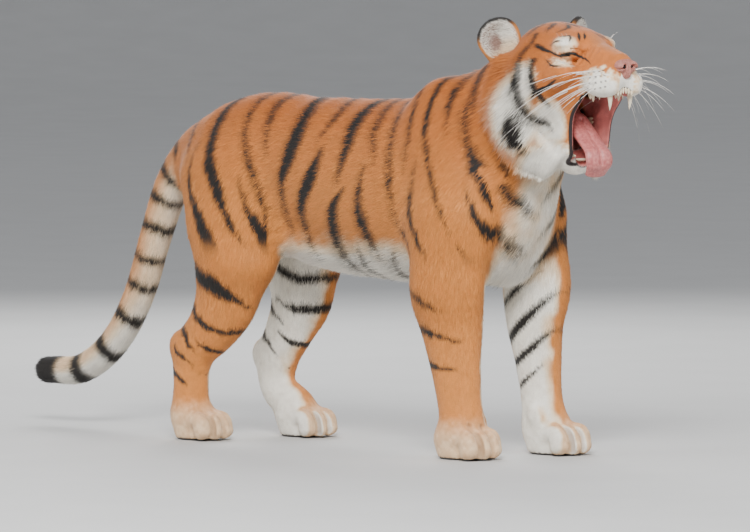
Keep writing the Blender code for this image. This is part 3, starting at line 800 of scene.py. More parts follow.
def stroke_mask(at, strokes, edge=0.0022):
    """1 inside any of some tapered strokes and 0 outside them."""
    found = np.full(len(at), -FAR)
    for stroke in strokes:
        path = smooth_path(stroke)
        last = path.shape[1] - 1
        reach = path[:, last].max() + 2 * edge
        low, high = path[:, :last].min(axis=0) - reach, path[:, :last].max(axis=0) + reach
        near = ((at > low) & (at < high)).all(axis=1)
        if not near.any():
            continue
        q = at[near]
        best = np.full(len(q), -FAR)
        for a, b in zip(path, path[1:]):
            along = b[:last] - a[:last]
            t = np.clip((q - a[:last]) @ along / max(along @ along, 1e-9), 0, 1)
            gap = np.linalg.norm(q - a[:last] - t[:, None] * along, axis=1)
            best = np.maximum(best, a[last] + t * (b[last] - a[last]) - gap)
        found[near] = np.maximum(found[near], best)
    return step(found, -edge, edge)


def unrolled(points):
    """x, and the height up the side that goes on round the back as far as the spine."""
    middle, half_width, half_height = (np.interp(points[:, 0], AXIS[:, 0], AXIS[:, k]) for k in (1, 2, 3))
    above = (points[:, 2] - middle) / half_height
    angle = np.arctan2(above, np.abs(points[:, 1]) / half_width)
    height = np.where(above < 0, points[:, 2], middle + angle * (half_width + half_height) / 2)
    return np.column_stack([points[:, 0], height])


def along_tail(points):
    """The way along the tail's line, in metres from its root."""
    path = tail()[0].path[:, :3]
    lengths = np.concatenate([[0], np.cumsum(np.linalg.norm(np.diff(path, axis=0), axis=1))])
    best, way = np.full(len(points), FAR), np.zeros(len(points))
    direction = np.zeros((len(points), 3))
    for a, b, start in zip(path, path[1:], lengths):
        along = b - a
        t = np.clip((points - a) @ along / (along @ along), 0, 1)
        gap = np.linalg.norm(points - a - t[:, None] * along, axis=1)
        closer = gap < best
        best[closer] = gap[closer]
        way[closer] = start + t[closer] * np.linalg.norm(along)
        direction[closer] = along / np.linalg.norm(along)
    return way, direction


def blob(at, centre, radii, core=0.6, end=1.2):
    """A soft patch, 1 within `core` of its radii and 0 beyond `end` of them."""
    return 1 - step(np.linalg.norm((at - np.array(centre)) / np.array(radii), axis=1), core, end)


def mixed(a, b, share):
    return a + (b - a) * np.asarray(share)[:, None]


def folded(at):
    """Places of the head, with its right side laid on its left."""
    return at * (1, 0, 1) + np.abs(at) * (0, 1, 0)


def by_direction(at):
    """Places of the head carried out to one sphere, so that marks don't depend on depth."""
    offset = at - np.array(HEAD_CENTRE)
    return MARKS_RADIUS * offset / np.maximum(np.linalg.norm(offset, axis=1), 1e-6)[:, None]


def ground_colour(points, normals, near, way, at_side, mottle, fine):
    """Orange, deep along the back and paler down the side, and cream and white below and inside."""
    z = points[:, 2]
    high = step(unrolled(points)[:, 1], 0.62, 0.98)
    ground = mixed(np.tile(ORANGE, (len(z), 1)), DEEP_ORANGE, np.clip(high + 0.15 * mottle, 0, 1))
    drift = 0.03 * noise(points, 0.09, 8) + 0.02 * mottle + 0.01 * fine
    belly = step(0.503 - z - 0.07 * normals[:, 2] + drift, -0.09, 0.08)
    chest = step(normals[:, 0] + 0.2 * mottle, 0.35, 1.0) * step(0.84 - z, 0, 0.16)
    chest *= 1 - step(abs(points[:, 1]), 0.06, 0.15)
    pale = np.maximum(belly, 0.85 * chest) * (near["trunk"] + near["neck"])
    low = 0.45 * (1 - step(z, 0.04, 0.16))
    for side, s in SIDES.items():
        inner = 0.9 * step(-s * normals[:, 1] + 0.2 * mottle, 0.1, 0.85) * (1 - step(z, 0.55, 0.72))
        for leg in ("fore", "hind"):
            pale += near[f"{leg}_{side}"] * np.maximum(inner, low)
    tail_pale = 0.2 + 0.55 * step(-normals[:, 2], -0.3, 0.6) + 0.3 * step(way, 0.5, 0.9)
    pale += near["tail"] * np.clip(tail_pale, 0, 1)
    face = np.zeros(len(z))
    feathered = at_side + 0.008 * noise(points, 0.006, 7)[:, None] + 0.007 * noise(points, 0.014, 9)[:, None]
    for centre, radii, share, core in HEAD_PALE:
        face = np.maximum(face, share * blob(feathered, centre, radii, core))
    pale += near["head"] * face + near["jaw"] * 0.95 + near["neck"] * face
    pale = np.clip(pale + 0.06 * fine, 0, 1)
    bridge = near["head"] * blob(at_side, (-0.105, 0, 0.112), (0.085, 0.03, 0.045))
    ground = mixed(ground, BRIDGE, 0.6 * bridge)
    return mixed(mixed(ground, CREAM, step(pale, 0.1, 0.6)), WHITE, step(pale, 0.5, 0.95))


def body_black(points, normals, near, way):
    """How black the stripes of the body, the legs and the tail are at any places."""
    z = points[:, 2]
    ragged = np.column_stack([0.0045 * noise(points, 0.016, 3) + 0.002 * noise(points, 0.005, 4)] * 2)
    body = (1 - near["head"] - near["jaw"]) * (1 - near["tail"])
    places = unrolled(points) + ragged
    # The left side's stripes are moved along a little, so that the two sides differ.
    places[:, 0] += (0.01 * np.sin(9 * places[:, 0]) + 0.012) * step(points[:, 1], -0.04, 0.04)
    black = stroke_mask(places, BODY_STRIPES) * body * (1 - step(share_of_legs(near) * (0.56 - z), 0.0, 0.06))
    front = step(normals[:, 0], 0.45, 0.65) * (near["neck"] + near["trunk"])
    black = np.where(front > 0.5, stroke_mask(points[:, 1:] + ragged, CHEST_STRIPES), black)
    flat = points[:, (0, 2)] + ragged
    for name, stripes in LEG_STRIPES.items():
        own = step(near[name], 0.3, 0.6) * (1 - step(z, 0.52, 0.56))
        black = np.maximum(black, stroke_mask(flat, stripes) * own)
    rings = [abs(way + 1.5 * ragged[:, 0] - at) - half for at, half in TAIL_RINGS]
    ring = np.maximum(1 - step(np.min(rings, axis=0), -0.003, 0.003), step(way, TAIL_TIP, TAIL_TIP + 0.01))
    return np.maximum(black, ring * step(near["tail"], 0.4, 0.7))


def head_black(points, aim, marks):
    """How black the marks of the head are at any places, and the dark spots at the whiskers' roots."""
    warp = 0.0016 * noise(points, 0.008, 5)
    eye_line, others = marks[:1], marks[1:]
    black = np.maximum(stroke_mask(aim + warp[:, None], others, 0.0012), stroke_mask(aim, eye_line, 0.0012))
    for _, _, root in whisker_roots(1):
        gap = np.linalg.norm(aim - by_direction(np.array([root]))[0], axis=1)
        black = np.maximum(black, 0.85 * (1 - step(gap, 0.0009, 0.0024)))
    return black


def markings(points, normals, near):
    """The colour of the coat at any places, from where they are on the body, with painted shade in the
    grooves between the toes.
    """
    mottle, fine = noise(points, 0.03, 1), noise(points, 0.009, 2)
    way, _ = along_tail(points)
    at_side = folded(into(HEAD, points))
    colour = ground_colour(points, normals, near, way, at_side, mottle, fine)
    aim = by_direction(at_side)
    marks = [
        [(*by_direction(np.array([row[:3]]))[0], row[3]) for row in smooth_path(stripe, 2)]
        for stripe in HEAD_STRIPES
    ]
    lid = stroke_mask(aim, [[(*row[:3], 0.0045) for row in marks[0]]], 0.0045) * near["head"]
    colour = mixed(colour, LID, 0.75 * lid)
    black = body_black(points, normals, near, way)
    black = np.maximum(black, head_black(points, aim, marks) * step(near["head"], 0.35, 0.65))
    colour = mixed(colour, BLACK, np.clip(black, 0, 1))
    # Painted shade in the grooves between the toes, darkest along each groove's line.
    low = points[:, 2] < 0.11
    gap = np.min([mass.distance(points[low]) for mass in toe_gaps()], axis=0)
    colour[low] = mixed(colour[low], PAINTED_CREASE_SHADE, 0.6 * (1 - step(gap, 0.0005, 0.0055)))
    return colour * (1 + 0.1 * fine[:, None] + 0.05 * mottle[:, None])


# ---- The skin -----------------------------------------------------------------------------------------
def linked(name, data):
    """A new object in the scene."""
    made = bpy.data.objects.new(name, data)
    bpy.context.scene.collection.objects.link(made)
    return made


def new_piece(name, points, faces, made):
    """A mesh object from points and faces, laid out as the solids are and moved to the frame's place."""
    mesh = bpy.data.meshes.new(name)
    mesh.from_pydata((np.asarray(points) + np.array(TO_FRAME)).tolist(), [], [list(f) for f in faces])
    mesh.shade_smooth()
    mesh.materials.append(made)
    piece = linked(name, mesh)
    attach(piece, "root")
    return piece


def read(items, what, width, kind=np.float32):
    """One property of each of a mesh's items, as rows."""
    values = np.empty(len(items) * width, kind)
    items.foreach_get(what, values)
    return values.reshape(-1, width)


def vertex_array(mesh, what="co"):
    """The places, or the normals, of a bmesh's vertices."""
    return np.array([getattr(vert, what)[:] for vert in mesh.verts])


def settle(masses, points, rounds=2):
    """Points moved onto the field's own surface, except where the field is too flat or too far from 0."""
    apart, flattest, furthest, longest = 0.0006, 0.3, 0.02, 0.004
    for _ in range(rounds):
        value = blended(masses, points)
        rises = [blended(masses, points + apart * axis) - value for axis in np.eye(3)]
        slope = np.column_stack(rises) / apart
        size = np.linalg.norm(slope, axis=1)
        good = (size > flattest) & (np.abs(value) < furthest)
        size = np.maximum(size, flattest)
        move = np.clip(value / size, -longest, longest)
        points = points - np.where(good, move / size, 0)[:, None] * slope
    return points


def refined(mesh, chosen):
    """Split the faces whose middles are chosen into four."""
    mesh.faces.ensure_lookup_table()
    middles = np.array([f.calc_center_median() for f in mesh.faces])
    inside = chosen(middles)
    edges = {e for f, take in zip(mesh.faces, inside) if take for e in f.edges}
    bmesh.ops.subdivide_edges(mesh, edges=list(edges), cuts=1, use_grid_fill=True)


def in_head(points):
    at = into(HEAD, points)
    return (at[:, 0] > -0.4) & (at[:, 2] > -0.27)


def in_face(points):
    at, lower = into(HEAD, points), into(JAW, points)
    front = (at[:, 0] > -0.215) & (at[:, 2] > -0.06)
    return front | ((lower[:, 0] > 0.05) & (lower[:, 2] > -0.03) & (at[:, 0] > -0.27))


def in_paws(points):
    return points[:, 2] < 0.105


def in_head_or_paws(points):
    return in_head(points) | in_paws(points)


def coat_depth(points, near):
    """How far the skin lies under the tips of the coat."""
    at = into(HEAD, points)
    depth = 0.006 * (near["trunk"] + near["neck"]) + 0.005 * near["tail"]
    depth += share_of_legs(near) * (0.0018 + 0.0035 * step(points[:, 2], 0.08, 0.4))
    ruff = step(-at[:, 0], 0.2, 0.29) * (1 - step(at[:, 2], 0.06, 0.13))
    depth += near["head"] * (0.001 + 0.009 * ruff) + near["jaw"] * 0.0018
    return depth


def skin_mesh():
    """The whole skin, finest on the face."""
    masses = skin_masses()
    points, faces = surface_of(masses, BODY_VOXEL)
    mesh = bmesh.new()
    verts = [mesh.verts.new(p) for p in points.tolist()]
    for face in faces:
        mesh.faces.new([verts[i] for i in face])
    for chosen in (in_head_or_paws, in_face):
        refined(mesh, chosen)
        points = vertex_array(mesh)
        fine = in_head_or_paws(points)
        points[fine] = settle(masses, points[fine])
        for vert, place in zip(mesh.verts, points.tolist()):
            vert.co = place
    every_way = {f"use_axis_{axis}": True for axis in "xyz"}
    bmesh.ops.smooth_vert(mesh, verts=mesh.verts, factor=0.35, **every_way)
    mesh.normal_update()
    points, normals = vertex_array(mesh), vertex_array(mesh, "normal")
    points = points - coat_depth(points, nearness(points))[:, None] * normals
    points[:, 2] = np.maximum(points[:, 2], 0.0)
    faces = [[v.index for v in f.verts] for f in mesh.faces]
    mesh.free()
    return points, faces


def ear(side):
    """A round cup that opens forwards and outwards, as in the solids."""
    masses = [
        oval((0, 0, 0.022), (0.02, 0.06, 0.055), blend=0.01),
        oval((0, 0, -0.03), (0.026, 0.05, 0.05), blend=0.03),
        oval(EAR_CUP, EAR_CUP_RADII, blend=0.01, carve=True),
    ]
    return placed(ear_place(side), masses)


def each_ear(ear_of):
    """Each ear's side, and which of some places are on it, by the ears' numbers."""
    for number, side in enumerate(SIDES, 1):
        yield side, ear_of == number


class Skin:
    """The skin object with what the coat needs to know at each of its vertices."""

    def __init__(self, made):
        points, faces = skin_mesh()
        self.ear_of = np.zeros(len(points), int)
        for number, side in enumerate(SIDES, 1):
            ear_points, ear_faces = surface_of(ear(side), EAR_VOXEL, inset=0.0025)
            faces += [[i + len(points) for i in f] for f in ear_faces]
            points = np.vstack([points, ear_points])
            self.ear_of = np.concatenate([self.ear_of, np.full(len(ear_points), number)])
        self.points = points
        self.object = new_piece("skin", points, faces, made)
        mesh = self.object.data
        self.normals = read(mesh.vertices, "normal", 3).astype(float)
        self.edges = read(mesh.edges, "vertices", 2, np.int32)
        self.near = nearness(points)
        self.find_mouth()
        self.colours = self.paint()
        self.flow = self.lie_of_coat()
        unwrap(self.object)

    def find_mouth(self):
        """How much each vertex is inside the mouth, on a lip and on the nose leather."""
        points = self.points
        at, lower = into(HEAD, points), into(JAW, points)
        hollow = np.min([mass.distance(points) for mass in mouth_masses()], axis=0)
        inward = -np.sign(at[:, 1]) * (self.normals @ axes_of(HEAD))[:, 1]
        gape = step(-at[:, 2], 0.01, 0.02) * step(lower[:, 2], 0.0, 0.01)
        gape *= step(at[:, 0], -0.3, -0.285) * step(-at[:, 0], 0.05, 0.07)
        gape *= (1 - step(abs(at[:, 1]), 0.085, 0.1)) * (1 - step(lower[:, 0], 0.185, 0.2))
        inside = np.maximum(1 - step(hollow, 0.003, 0.0055), gape * step(inward, 0.05, 0.3))
        gum = blob(folded(lower), (0.202, 0.038, 0.03), (0.016, 0.009, 0.026), 0.8)
        self.inside = np.maximum(inside, gum)
        edge = np.maximum(1 - step(hollow, 0.0065, 0.01), gape * step(inward, -0.45, -0.15))
        rim = np.min([mass.distance(points) for mass in lips()], axis=0)
        self.lip = np.maximum(edge, 1 - step(rim, 0.0012, 0.003)) * (1 - self.inside)
        self.leather = blob(at, (0.004, 0, 0.054), (0.024, 0.03, 0.02), 0.8, 1.1)

    def paint(self):
        """The skin's colours, with what the coat leaves bare: ears' cups, pads, lips, nose and mouth."""
        colour = painted(self.points, self.normals, self.near, self.ear_of)
        for side, there in each_ear(self.ear_of):
            cup = in_cup(into(ear_place(side), self.points[there]))
            colour[there] = mixed(colour[there], EAR_SKIN * 0.6, 0.9 * cup)
        colour = mixed(colour, PAD_SKIN, self.points[:, 2] < 0.006)
        colour = mixed(colour, LIP, np.maximum(self.lip, self.leather))
        wet = MUCOSA * (1 + 0.18 * noise(self.points, 0.01, 6)[:, None])
        return np.clip(mixed(colour, wet, self.inside), 0, 1)

    def smoothed(self, values, rounds):
        """Values at the vertices averaged with their neighbours'."""
        a, b = self.edges.T
        count = np.bincount(a, minlength=len(values)) + np.bincount(b, minlength=len(values)) + 1.0
        for _ in range(rounds):
            total = values.copy()
            for k, column in enumerate(values.T):
                total[:, k] += np.bincount(a, column[b], len(values)) + np.bincount(b, column[a], len(values))
            values = total / count[:, None]
        return values

    def lie_of_coat(self):
        """The way that the hair points at each vertex."""
        points, near = self.points, self.near
        z, ones = points[:, 2], np.ones(len(points))
        upright = np.abs(self.normals[:, 2])
        flow = near["trunk"][:, None] * np.column_stack([-ones, 0 * ones, -0.45 * (1 - upright)])
        flow += near["neck"][:, None] * np.array((-0.8, 0, -0.62))
        _, tail_way = along_tail(points)
        flow += near["tail"][:, None] * tail_way
        low = (1 - step(z, 0.05, 0.09))[:, None]
        back = 0.35 * step(z, 0.45, 0.75)[:, None]
        down = np.array((-0.1, 0, -1.0)) * (1 - back) + np.array((-1.0, 0, -0.35)) * back
        toes = np.array((0.9, 0, -0.55))
        for name, weight in near.items():
            if name[:4] in ("fore", "hind"):
                flow += weight[:, None] * (down * (1 - low) + toes * low)
        at = into(HEAD, points)
        away = at - np.array((0.03, 0, 0.055))
        away /= np.linalg.norm(away, axis=1)[:, None]
        droop = (step(-at[:, 0], 0.14, 0.26) * (1 - step(at[:, 2], 0.04, 0.12)))[:, None]
        away = away + droop * np.array((0.05, 0, -0.75))
        flow += near["head"][:, None] * (away @ axes_of(HEAD).T)
        flow += near["jaw"][:, None] * (np.array((-1.0, 0, -0.15)) @ axes_of(JAW).T)
        for side, there in each_ear(self.ear_of):
            at = into(ear_place(side), points[there])
            cup = in_cup(at)[:, None]
            out = np.column_stack([0 * at[:, 0], at[:, 1], at[:, 2] + 0.075])
            out /= np.linalg.norm(out, axis=1)[:, None]
            across = np.array((0.1, SIDES[side] * 0.8, 0.55))
            flow[there] = (out * (1 - cup) + across * cup) @ axes_of(ear_place(side)).T
        for _ in range(3):
            flow = self.smoothed(flow, 3)
            flow -= (flow * self.normals).sum(axis=1)[:, None] * self.normals
            flow /= np.maximum(np.linalg.norm(flow, axis=1), 1e-6)[:, None]
        return flow


def ear_place(side):
    s = SIDES[side]
    place = HEAD @ Matrix.Translation((EAR_AT.x, s * EAR_AT.y, EAR_AT.z))
    return place @ Matrix.Rotation(-s * EAR_OUT, 4, "X") @ Matrix.Rotation(s * EAR_OPEN, 4, "Z")


def in_cup(at):
    """1 in the cup of an ear and 0 outside it, for places in the ear's own frame."""
    return blob(at, EAR_CUP, EAR_CUP_RADII, 1.15, 1.28)


def deep_in_cup(at, s):
    """1 in the dark middle of an ear's cup and 0 near its edge."""
    return in_cup(at) * blob(at[:, 1:], (s * 0.008, 0.008), (0.03, 0.034), 0.25, 1.0)


def ear_colours(points, normals, side):
    """Black behind with a white spot, and pale inside."""
    place = ear_place(side)
    at, facing = into(place, points), normals @ axes_of(place)
    spot = blob(at[:, 1:], (0, 0.02), (0.026, 0.022), 0.75, 1.0) * (1 - step(facing[:, 0], -0.25, 0.2))
    colour = mixed(np.tile(BLACK, (len(points), 1)), WHITE, spot)
    front = step(facing[:, 0], -0.1, 0.4) * (1 - step(at[:, 2], 0.02, 0.05))
    colour = mixed(colour, ORANGE * 0.8, np.maximum(front, 1 - step(at[:, 2], -0.035, -0.015)))
    inner = mixed(np.tile(CREAM, (len(points), 1)), WHITE, step(at[:, 2] + 0.3 * abs(at[:, 1]), -0.02, 0.03))
    # The deep middle of the cup is darkened towards the ear's skin. This is partly the ear's own dark skin
    # and partly painted shade in the hollow of the cup.
    inner = mixed(inner, EAR_SKIN, 0.85 * deep_in_cup(at, SIDES[side]))
    return mixed(colour, inner, in_cup(at))


def painted(points, normals, near, ear_of):
    """The colour of the coat at any places, ears and all."""
    colour = markings(points, normals, near)
    for side, there in each_ear(ear_of):
        colour[there] = ear_colours(points[there], normals[there], side)
    return colour


def write_colours(mesh, colours):
    """Colours of a mesh's vertices, for its material."""
    layer = mesh.color_attributes.new("coat", "FLOAT_COLOR", "POINT")
    values = np.ones((len(colours), 4), np.float32)
    values[:, :3] = np.clip(colours, 0, 1)
    layer.data.foreach_set("color", values.ravel())


def unwrap(piece):
    """An unwrap of the piece's own shape, by which the coat's tufts find their place."""
    piece.data.uv_layers.new(name="OFBake")
    bpy.context.view_layer.objects.active = piece
    piece.select_set(True)
    bpy.ops.object.mode_set(mode="EDIT")
    bpy.ops.mesh.select_all(action="SELECT")
    bpy.ops.uv.smart_project(angle_limit=math.radians(66), island_margin=0.002)
    bpy.ops.object.mode_set(mode="OBJECT")
    piece.select_set(False)


# ---- The coat -----------------------------------------------------------------------------------------
# Tufts to the square metre.
BODY_TUFTS, TAIL_TUFTS, LEG_TUFTS, FACE_TUFTS, JAW_TUFTS, EAR_TUFTS = 94e3, 95e3, 74e3, 330e3, 260e3, 300e3

# How much the tufts differ: in direction, length, lift and shade. Their bases lie a little under the skin.
STRAY, UNEVEN_LENGTH, UNEVEN_LIFT, UNEVEN_SHADE = 0.13, 0.16, 0.35, 0.07
ROOT_DEPTH = 0.0008

# A tuft's corners are the two ends of its base, a ridge over the base, and its tip. BLADE is its faces,
# TIP_SHARES how far each corner takes the colour found at the tip, ROOT_SHADE_TONES how light each corner is, and PATCH
# where each lies on the skin's unwrap, round the root.
BLADE = np.array([(0, 2, 1), (0, 1, 3), (1, 2, 3), (2, 0, 3)])
TIP_SHARES = np.array((0, 0, 0.55, 1))[None, :, None]
# The tones are painted shade and light: each tuft is darker at its base, where the coat is shaded deep at the
# roots, and lighter at its tip.
ROOT_SHADE_TONES = np.array((0.8, 0.8, 0.92, 1.06))[None, :, None]
PATCH = 0.0015 * np.array([(-1, -1), (1, -1), (0, 0), (0, 1)])


def coat_plan(skin):
    """Length, lift and number to the square metre of the tufts at each vertex."""
    points, near = skin.points, skin.near
    at, lower, z = into(HEAD, points), into(JAW, points), points[:, 2]
    legs = share_of_legs(near)
    under = step(-skin.normals[:, 2], 0.2, 0.8) * step(z, 0.38, 0.44)
    length = near["trunk"] * (0.021 + 0.01 * under) + near["neck"] * 0.025 + near["tail"] * 0.018
    length += legs * (0.0055 + 0.0025 * step(z, 0.05, 0.1) + 0.011 * step(z, 0.1, 0.55))
    ruff = step(-at[:, 0], 0.19, 0.31) * (1 - step(at[:, 2], 0.07, 0.14))
    ruff *= 1 - 0.6 * step(-at[:, 2], 0.16, 0.21)
    face = 0.0045 + 0.01 * step(-at[:, 0], 0.08, 0.34)
    beard = 0.006 + 0.01 * step(-lower[:, 2], 0.03, 0.09)
    length += near["head"] * (face + 0.03 * ruff) + near["jaw"] * beard
    lift = 0.17 + 0.16 * ruff * near["head"] + 0.05 * under
    number = near["trunk"] * BODY_TUFTS + near["neck"] * BODY_TUFTS + near["tail"] * TAIL_TUFTS
    number += legs * (LEG_TUFTS + 55e3 * (1 - step(z, 0.05, 0.25)))
    number += near["head"] * (FACE_TUFTS - 170e3 * step(-at[:, 0], 0.22, 0.34)) + near["jaw"] * JAW_TUFTS
    for side, there in each_ear(skin.ear_of):
        place = into(ear_place(side), points[there])
        cup, deep = in_cup(place), deep_in_cup(place, SIDES[side])
        medial = step(-SIDES[side] * place[:, 1] - 0.5 * place[:, 2], -0.02, 0.03)
        length[there] = 0.006 + cup * (0.003 + 0.015 * medial) * (1 - 0.6 * deep)
        lift[there] = 0.15 + 0.25 * cup
        number[there] = EAR_TUFTS - 130e3 * cup - 90e3 * deep
    bare = np.clip(skin.inside + skin.lip + (z < 0.008), 0, 1)
    leather = np.linalg.norm((at - (0.0, 0, 0.056)) / (0.022, 0.031, 0.022), axis=1) < 1.0
    number *= (bare < 0.4) & ~leather
    return {"length": length, "lift": lift, "number": number}


class Roots:
    """Places for tufts, spread over the skin, with all that is known of the skin there."""

    def __init__(self, skin, plan, rng):
        mesh = skin.object.data
        mesh.calc_loop_triangles()
        corners = read(mesh.loop_triangles, "vertices", 3, np.int32)
        loops = read(mesh.loop_triangles, "loops", 3, np.int32)
        a, b, c = (skin.points[corners[:, k]] for k in range(3))
        area = np.linalg.norm(np.cross(b - a, c - a), axis=1) / 2
        share = np.cumsum(area * plan["number"][corners].mean(axis=1))
        total = int(share[-1])
        picks = (np.arange(total) + rng.random(total)) * share[-1] / total
        chosen = np.minimum(np.searchsorted(share, picks), len(share) - 1)
        r1, r2 = np.sqrt(rng.random(total)), rng.random(total)
        weights = np.column_stack([1 - r1, r1 * (1 - r2), r1 * r2])
        self.corners, self.weights = corners[chosen], weights
        self.points = self.at(skin.points)
        self.normals = self.unit(self.at(skin.normals))
        self.flow = self.unit(self.at(skin.flow))
        self.uv = self.at(read(mesh.uv_layers["OFBake"].uv, "vector", 2), loops[chosen])
        self.length, self.lift = self.at(plan["length"][:, None])[:, 0], self.at(plan["lift"][:, None])[:, 0]
        self.near = {name: self.at(value[:, None])[:, 0] for name, value in skin.near.items()}
        self.ear_of = skin.ear_of[self.corners[:, 0]]

    def painted(self, points):
        """The coat's colour at some places over these roots."""
        points = np.where(self.ear_of[:, None] > 0, self.points, points)
        return painted(points, self.normals, self.near, self.ear_of)

    def at(self, values, corners=None):
        """Values at the vertices, or at other corners, carried over to the roots."""
        corners = self.corners if corners is None else corners
        return (values[corners] * self.weights[:, :, None]).sum(axis=1)

    @staticmethod
    def unit(vectors):
        return vectors / np.maximum(np.linalg.norm(vectors, axis=1), 1e-9)[:, None]


def part_names(roots):
    """Which piece of the coat each tuft goes to."""
    names = np.array(list(roots.near))
    part = names[np.argmax(list(roots.near.values()), axis=0)].astype("U24")
    x, y = roots.points[:, 0], roots.points[:, 1]
    side = np.where(y < 0, "right", "left")
    where = np.select([x < -0.18, x < 0.12, x < 0.36], ["rump_", "flank_", "shoulder_"], "neck_")
    part = np.where(np.isin(part, ("trunk", "neck")), np.char.add(where, side), part)
    head_side = np.where(into(HEAD, roots.points)[:, 1] < 0, "right", "left")
    part = np.where(part == "head", np.char.add("head_", head_side), part)
    return np.where(roots.ear_of > 0, "ears", part)


def tufts(roots, rng):
    """The corners, normals and colours of every tuft, a thin blade of four faces."""
    n = len(roots.points)
    flow = roots.flow + STRAY * rng.normal(0, 1, (n, 3))
    flow = Roots.unit(flow - (flow * roots.normals).sum(axis=1)[:, None] * roots.normals)
    across = np.cross(roots.normals, flow)
    length = roots.length * np.exp(UNEVEN_LENGTH * rng.normal(0, 1, n))
    lift = np.clip(roots.lift * (1 + UNEVEN_LIFT * rng.normal(0, 1, n)), 0.05, 1.0)
    half = (0.0004 + 0.027 * roots.length)[:, None]
    base = roots.points - ROOT_DEPTH * roots.normals
    rise, run = np.sin(lift)[:, None], np.cos(lift)[:, None]
    way, over = run * flow + rise * roots.normals, run * roots.normals - rise * flow
    tip = base + length[:, None] * way
    ridge = base + 0.14 * length[:, None] * way + 0.9 * half * over
    corners = np.stack([base - half * across, base + half * across, ridge, tip], axis=1)
    # The two upper faces take soft normals, close to the skin's own, and the other two stay flat.
    lean = np.stack([-0.55 * across, 0.55 * across, 0.0 * across, 0.25 * flow], axis=1)
    soft = (roots.normals[:, None, :] + lean)[:, BLADE]
    a, b, c = (corners[:, BLADE[:, k]] for k in range(3))
    top = (np.arange(len(BLADE)) > 1)[None, :, None, None]
    normals = np.where(top, soft, np.cross(b - a, c - a)[:, :, None, :])
    normals /= np.linalg.norm(normals, axis=3)[..., None]
    shade = 1 + UNEVEN_SHADE * rng.normal(0, 1, n)[:, None, None]
    low, high = roots.painted(roots.points)[:, None, :], roots.painted(tip)[:, None, :]
    # Each tuft's colour is darkened at its roots as painted shade and lightened at its tip as painted light.
    return corners, normals, (low + (high - low) * TIP_SHARES) * ROOT_SHADE_TONES * shade


def coat_piece(name, corners, normals, colours, uv, made):
    """One piece of the coat, from its tufts."""
    n = len(corners)
    mesh = bpy.data.meshes.new(name)
    mesh.vertices.add(4 * n)
    mesh.vertices.foreach_set("co", (corners + np.array(TO_FRAME)).astype(np.float32).ravel())
    faces = (BLADE[None, :, :] + 4 * np.arange(n)[:, None, None]).reshape(-1)
    mesh.loops.add(len(faces))
    mesh.loops.foreach_set("vertex_index", faces.astype(np.int32))
    mesh.polygons.add(4 * n)
    mesh.polygons.foreach_set("loop_start", np.arange(0, 12 * n, 3, dtype=np.int32))
    mesh.update(calc_edges=True)
    mesh.polygons.foreach_set("use_smooth", np.ones(4 * n, bool))
    layer = mesh.uv_layers.new(name="OFBake")
    places = uv[:, None, :] + PATCH[None, :, :]
    layer.uv.foreach_set("vector", places.reshape(-1, 2)[faces].astype(np.float32).ravel())
    write_colours(mesh, colours.reshape(-1, 3))
    mesh.normals_split_custom_set(normals.reshape(-1, 3).astype(np.float32))
    mesh.materials.append(made)
    piece = linked(name, mesh)
    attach(piece, "root")


def make_coat(skin, made):
    rng = np.random.default_rng(11)
    roots = Roots(skin, coat_plan(skin), rng)
    corners, normals, colours = tufts(roots, rng)
    corners[:, :, 2] = np.maximum(corners[:, :, 2], 0.0005)
    parts = part_names(roots)
    for part in np.unique(parts):
        there = parts == part
        coat_piece(f"coat_{part}", corners[there], normals[there], colours[there], roots.uv[there], made)
        print("coat", part, 4 * int(there.sum()), "triangles")


# ---- Nose, mouth and whiskers -------------------------------------------------------------------------
def nose():
    """The nose leather with its nostrils and the cleft below them."""
    masses = [
        oval((-0.01, 0, 0.058), (0.02, 0.031, 0.021), turn=(0, 20, 0), blend=0.01),
        oval((-0.004, 0, 0.039), (0.014, 0.015, 0.016), turn=(0, 10, 0), blend=0.01),
    ]
    for s in SIDES.values():
        masses += [
            oval((0.0, s * 0.019, 0.056), (0.018, 0.013, 0.014), blend=0.006),
            oval(
                (0.012, s * 0.0145, 0.055),
                (0.014, 0.0065, 0.006),
                turn=(s * 20, 0, s * 20),
                blend=0.003,
                carve=True,
            ),
            line_mass(
                [(0.014, s * 0.019, 0.052), (0.006, s * 0.028, 0.048), (-0.01, s * 0.034, 0.049)],
                0.0032,
                blend=0.003,
            ),
        ]
    cleft = [(0.012, 0, 0.062), (0.013, 0, 0.046), (0.006, 0, 0.022)]
    masses.append(line_mass(cleft, 0.0022, side=(1, 0, 0), blend=0.003))
    return placed(HEAD, masses)


def tongue():
    """The tongue laid over the lower jaw, with a groove along its middle."""
    rows = [
        (0.055, 0, -0.004, 0.034, 0.016),
        (0.092, 0, 0.006, 0.035, 0.021),
        (0.114, 0, 0.028, 0.036, 0.022),
        (0.148, 0, 0.048, 0.038, 0.019),
        (0.184, 0, 0.072, 0.038, 0.015),
        (0.214, 0, 0.091, 0.041, 0.012),
        (0.243, 0, 0.09, 0.041, 0.011),
        (0.265, 0, 0.066, 0.033, 0.009),
    ]
    groove = [(x, y, z + 1.02 * high) for x, y, z, _, high in rows[2:-1]]
    masses = [Mass(*rows, blend=0.01)]
    for y in (0.019, -0.019):
        masses.append(oval((0.232, y, 0.091), (0.026, 0.019, 0.012), turn=(0, 10, 0), blend=0.01))
    masses.append(line_mass(groove, 0.0034, side=(0, 1, 0), blend=0.01))
    return placed(JAW, masses)


def palate():
    """Ridges across the roof of the mouth."""
    masses = []
    for i in range(8):
        x = -0.04 - 0.019 * i
        half = 0.02 + 0.013 * (i / 7)
        z = 0.006 + 0.004 * (i / 7)
        rows = [(x - 0.006, -half, z - 0.006), (x, 0, z), (x - 0.006, half, z - 0.006)]
        masses.append(line_mass(rows, 0.0035, side=(1, 0, 0), blend=0.005, carve=False))
    return placed(HEAD, masses)


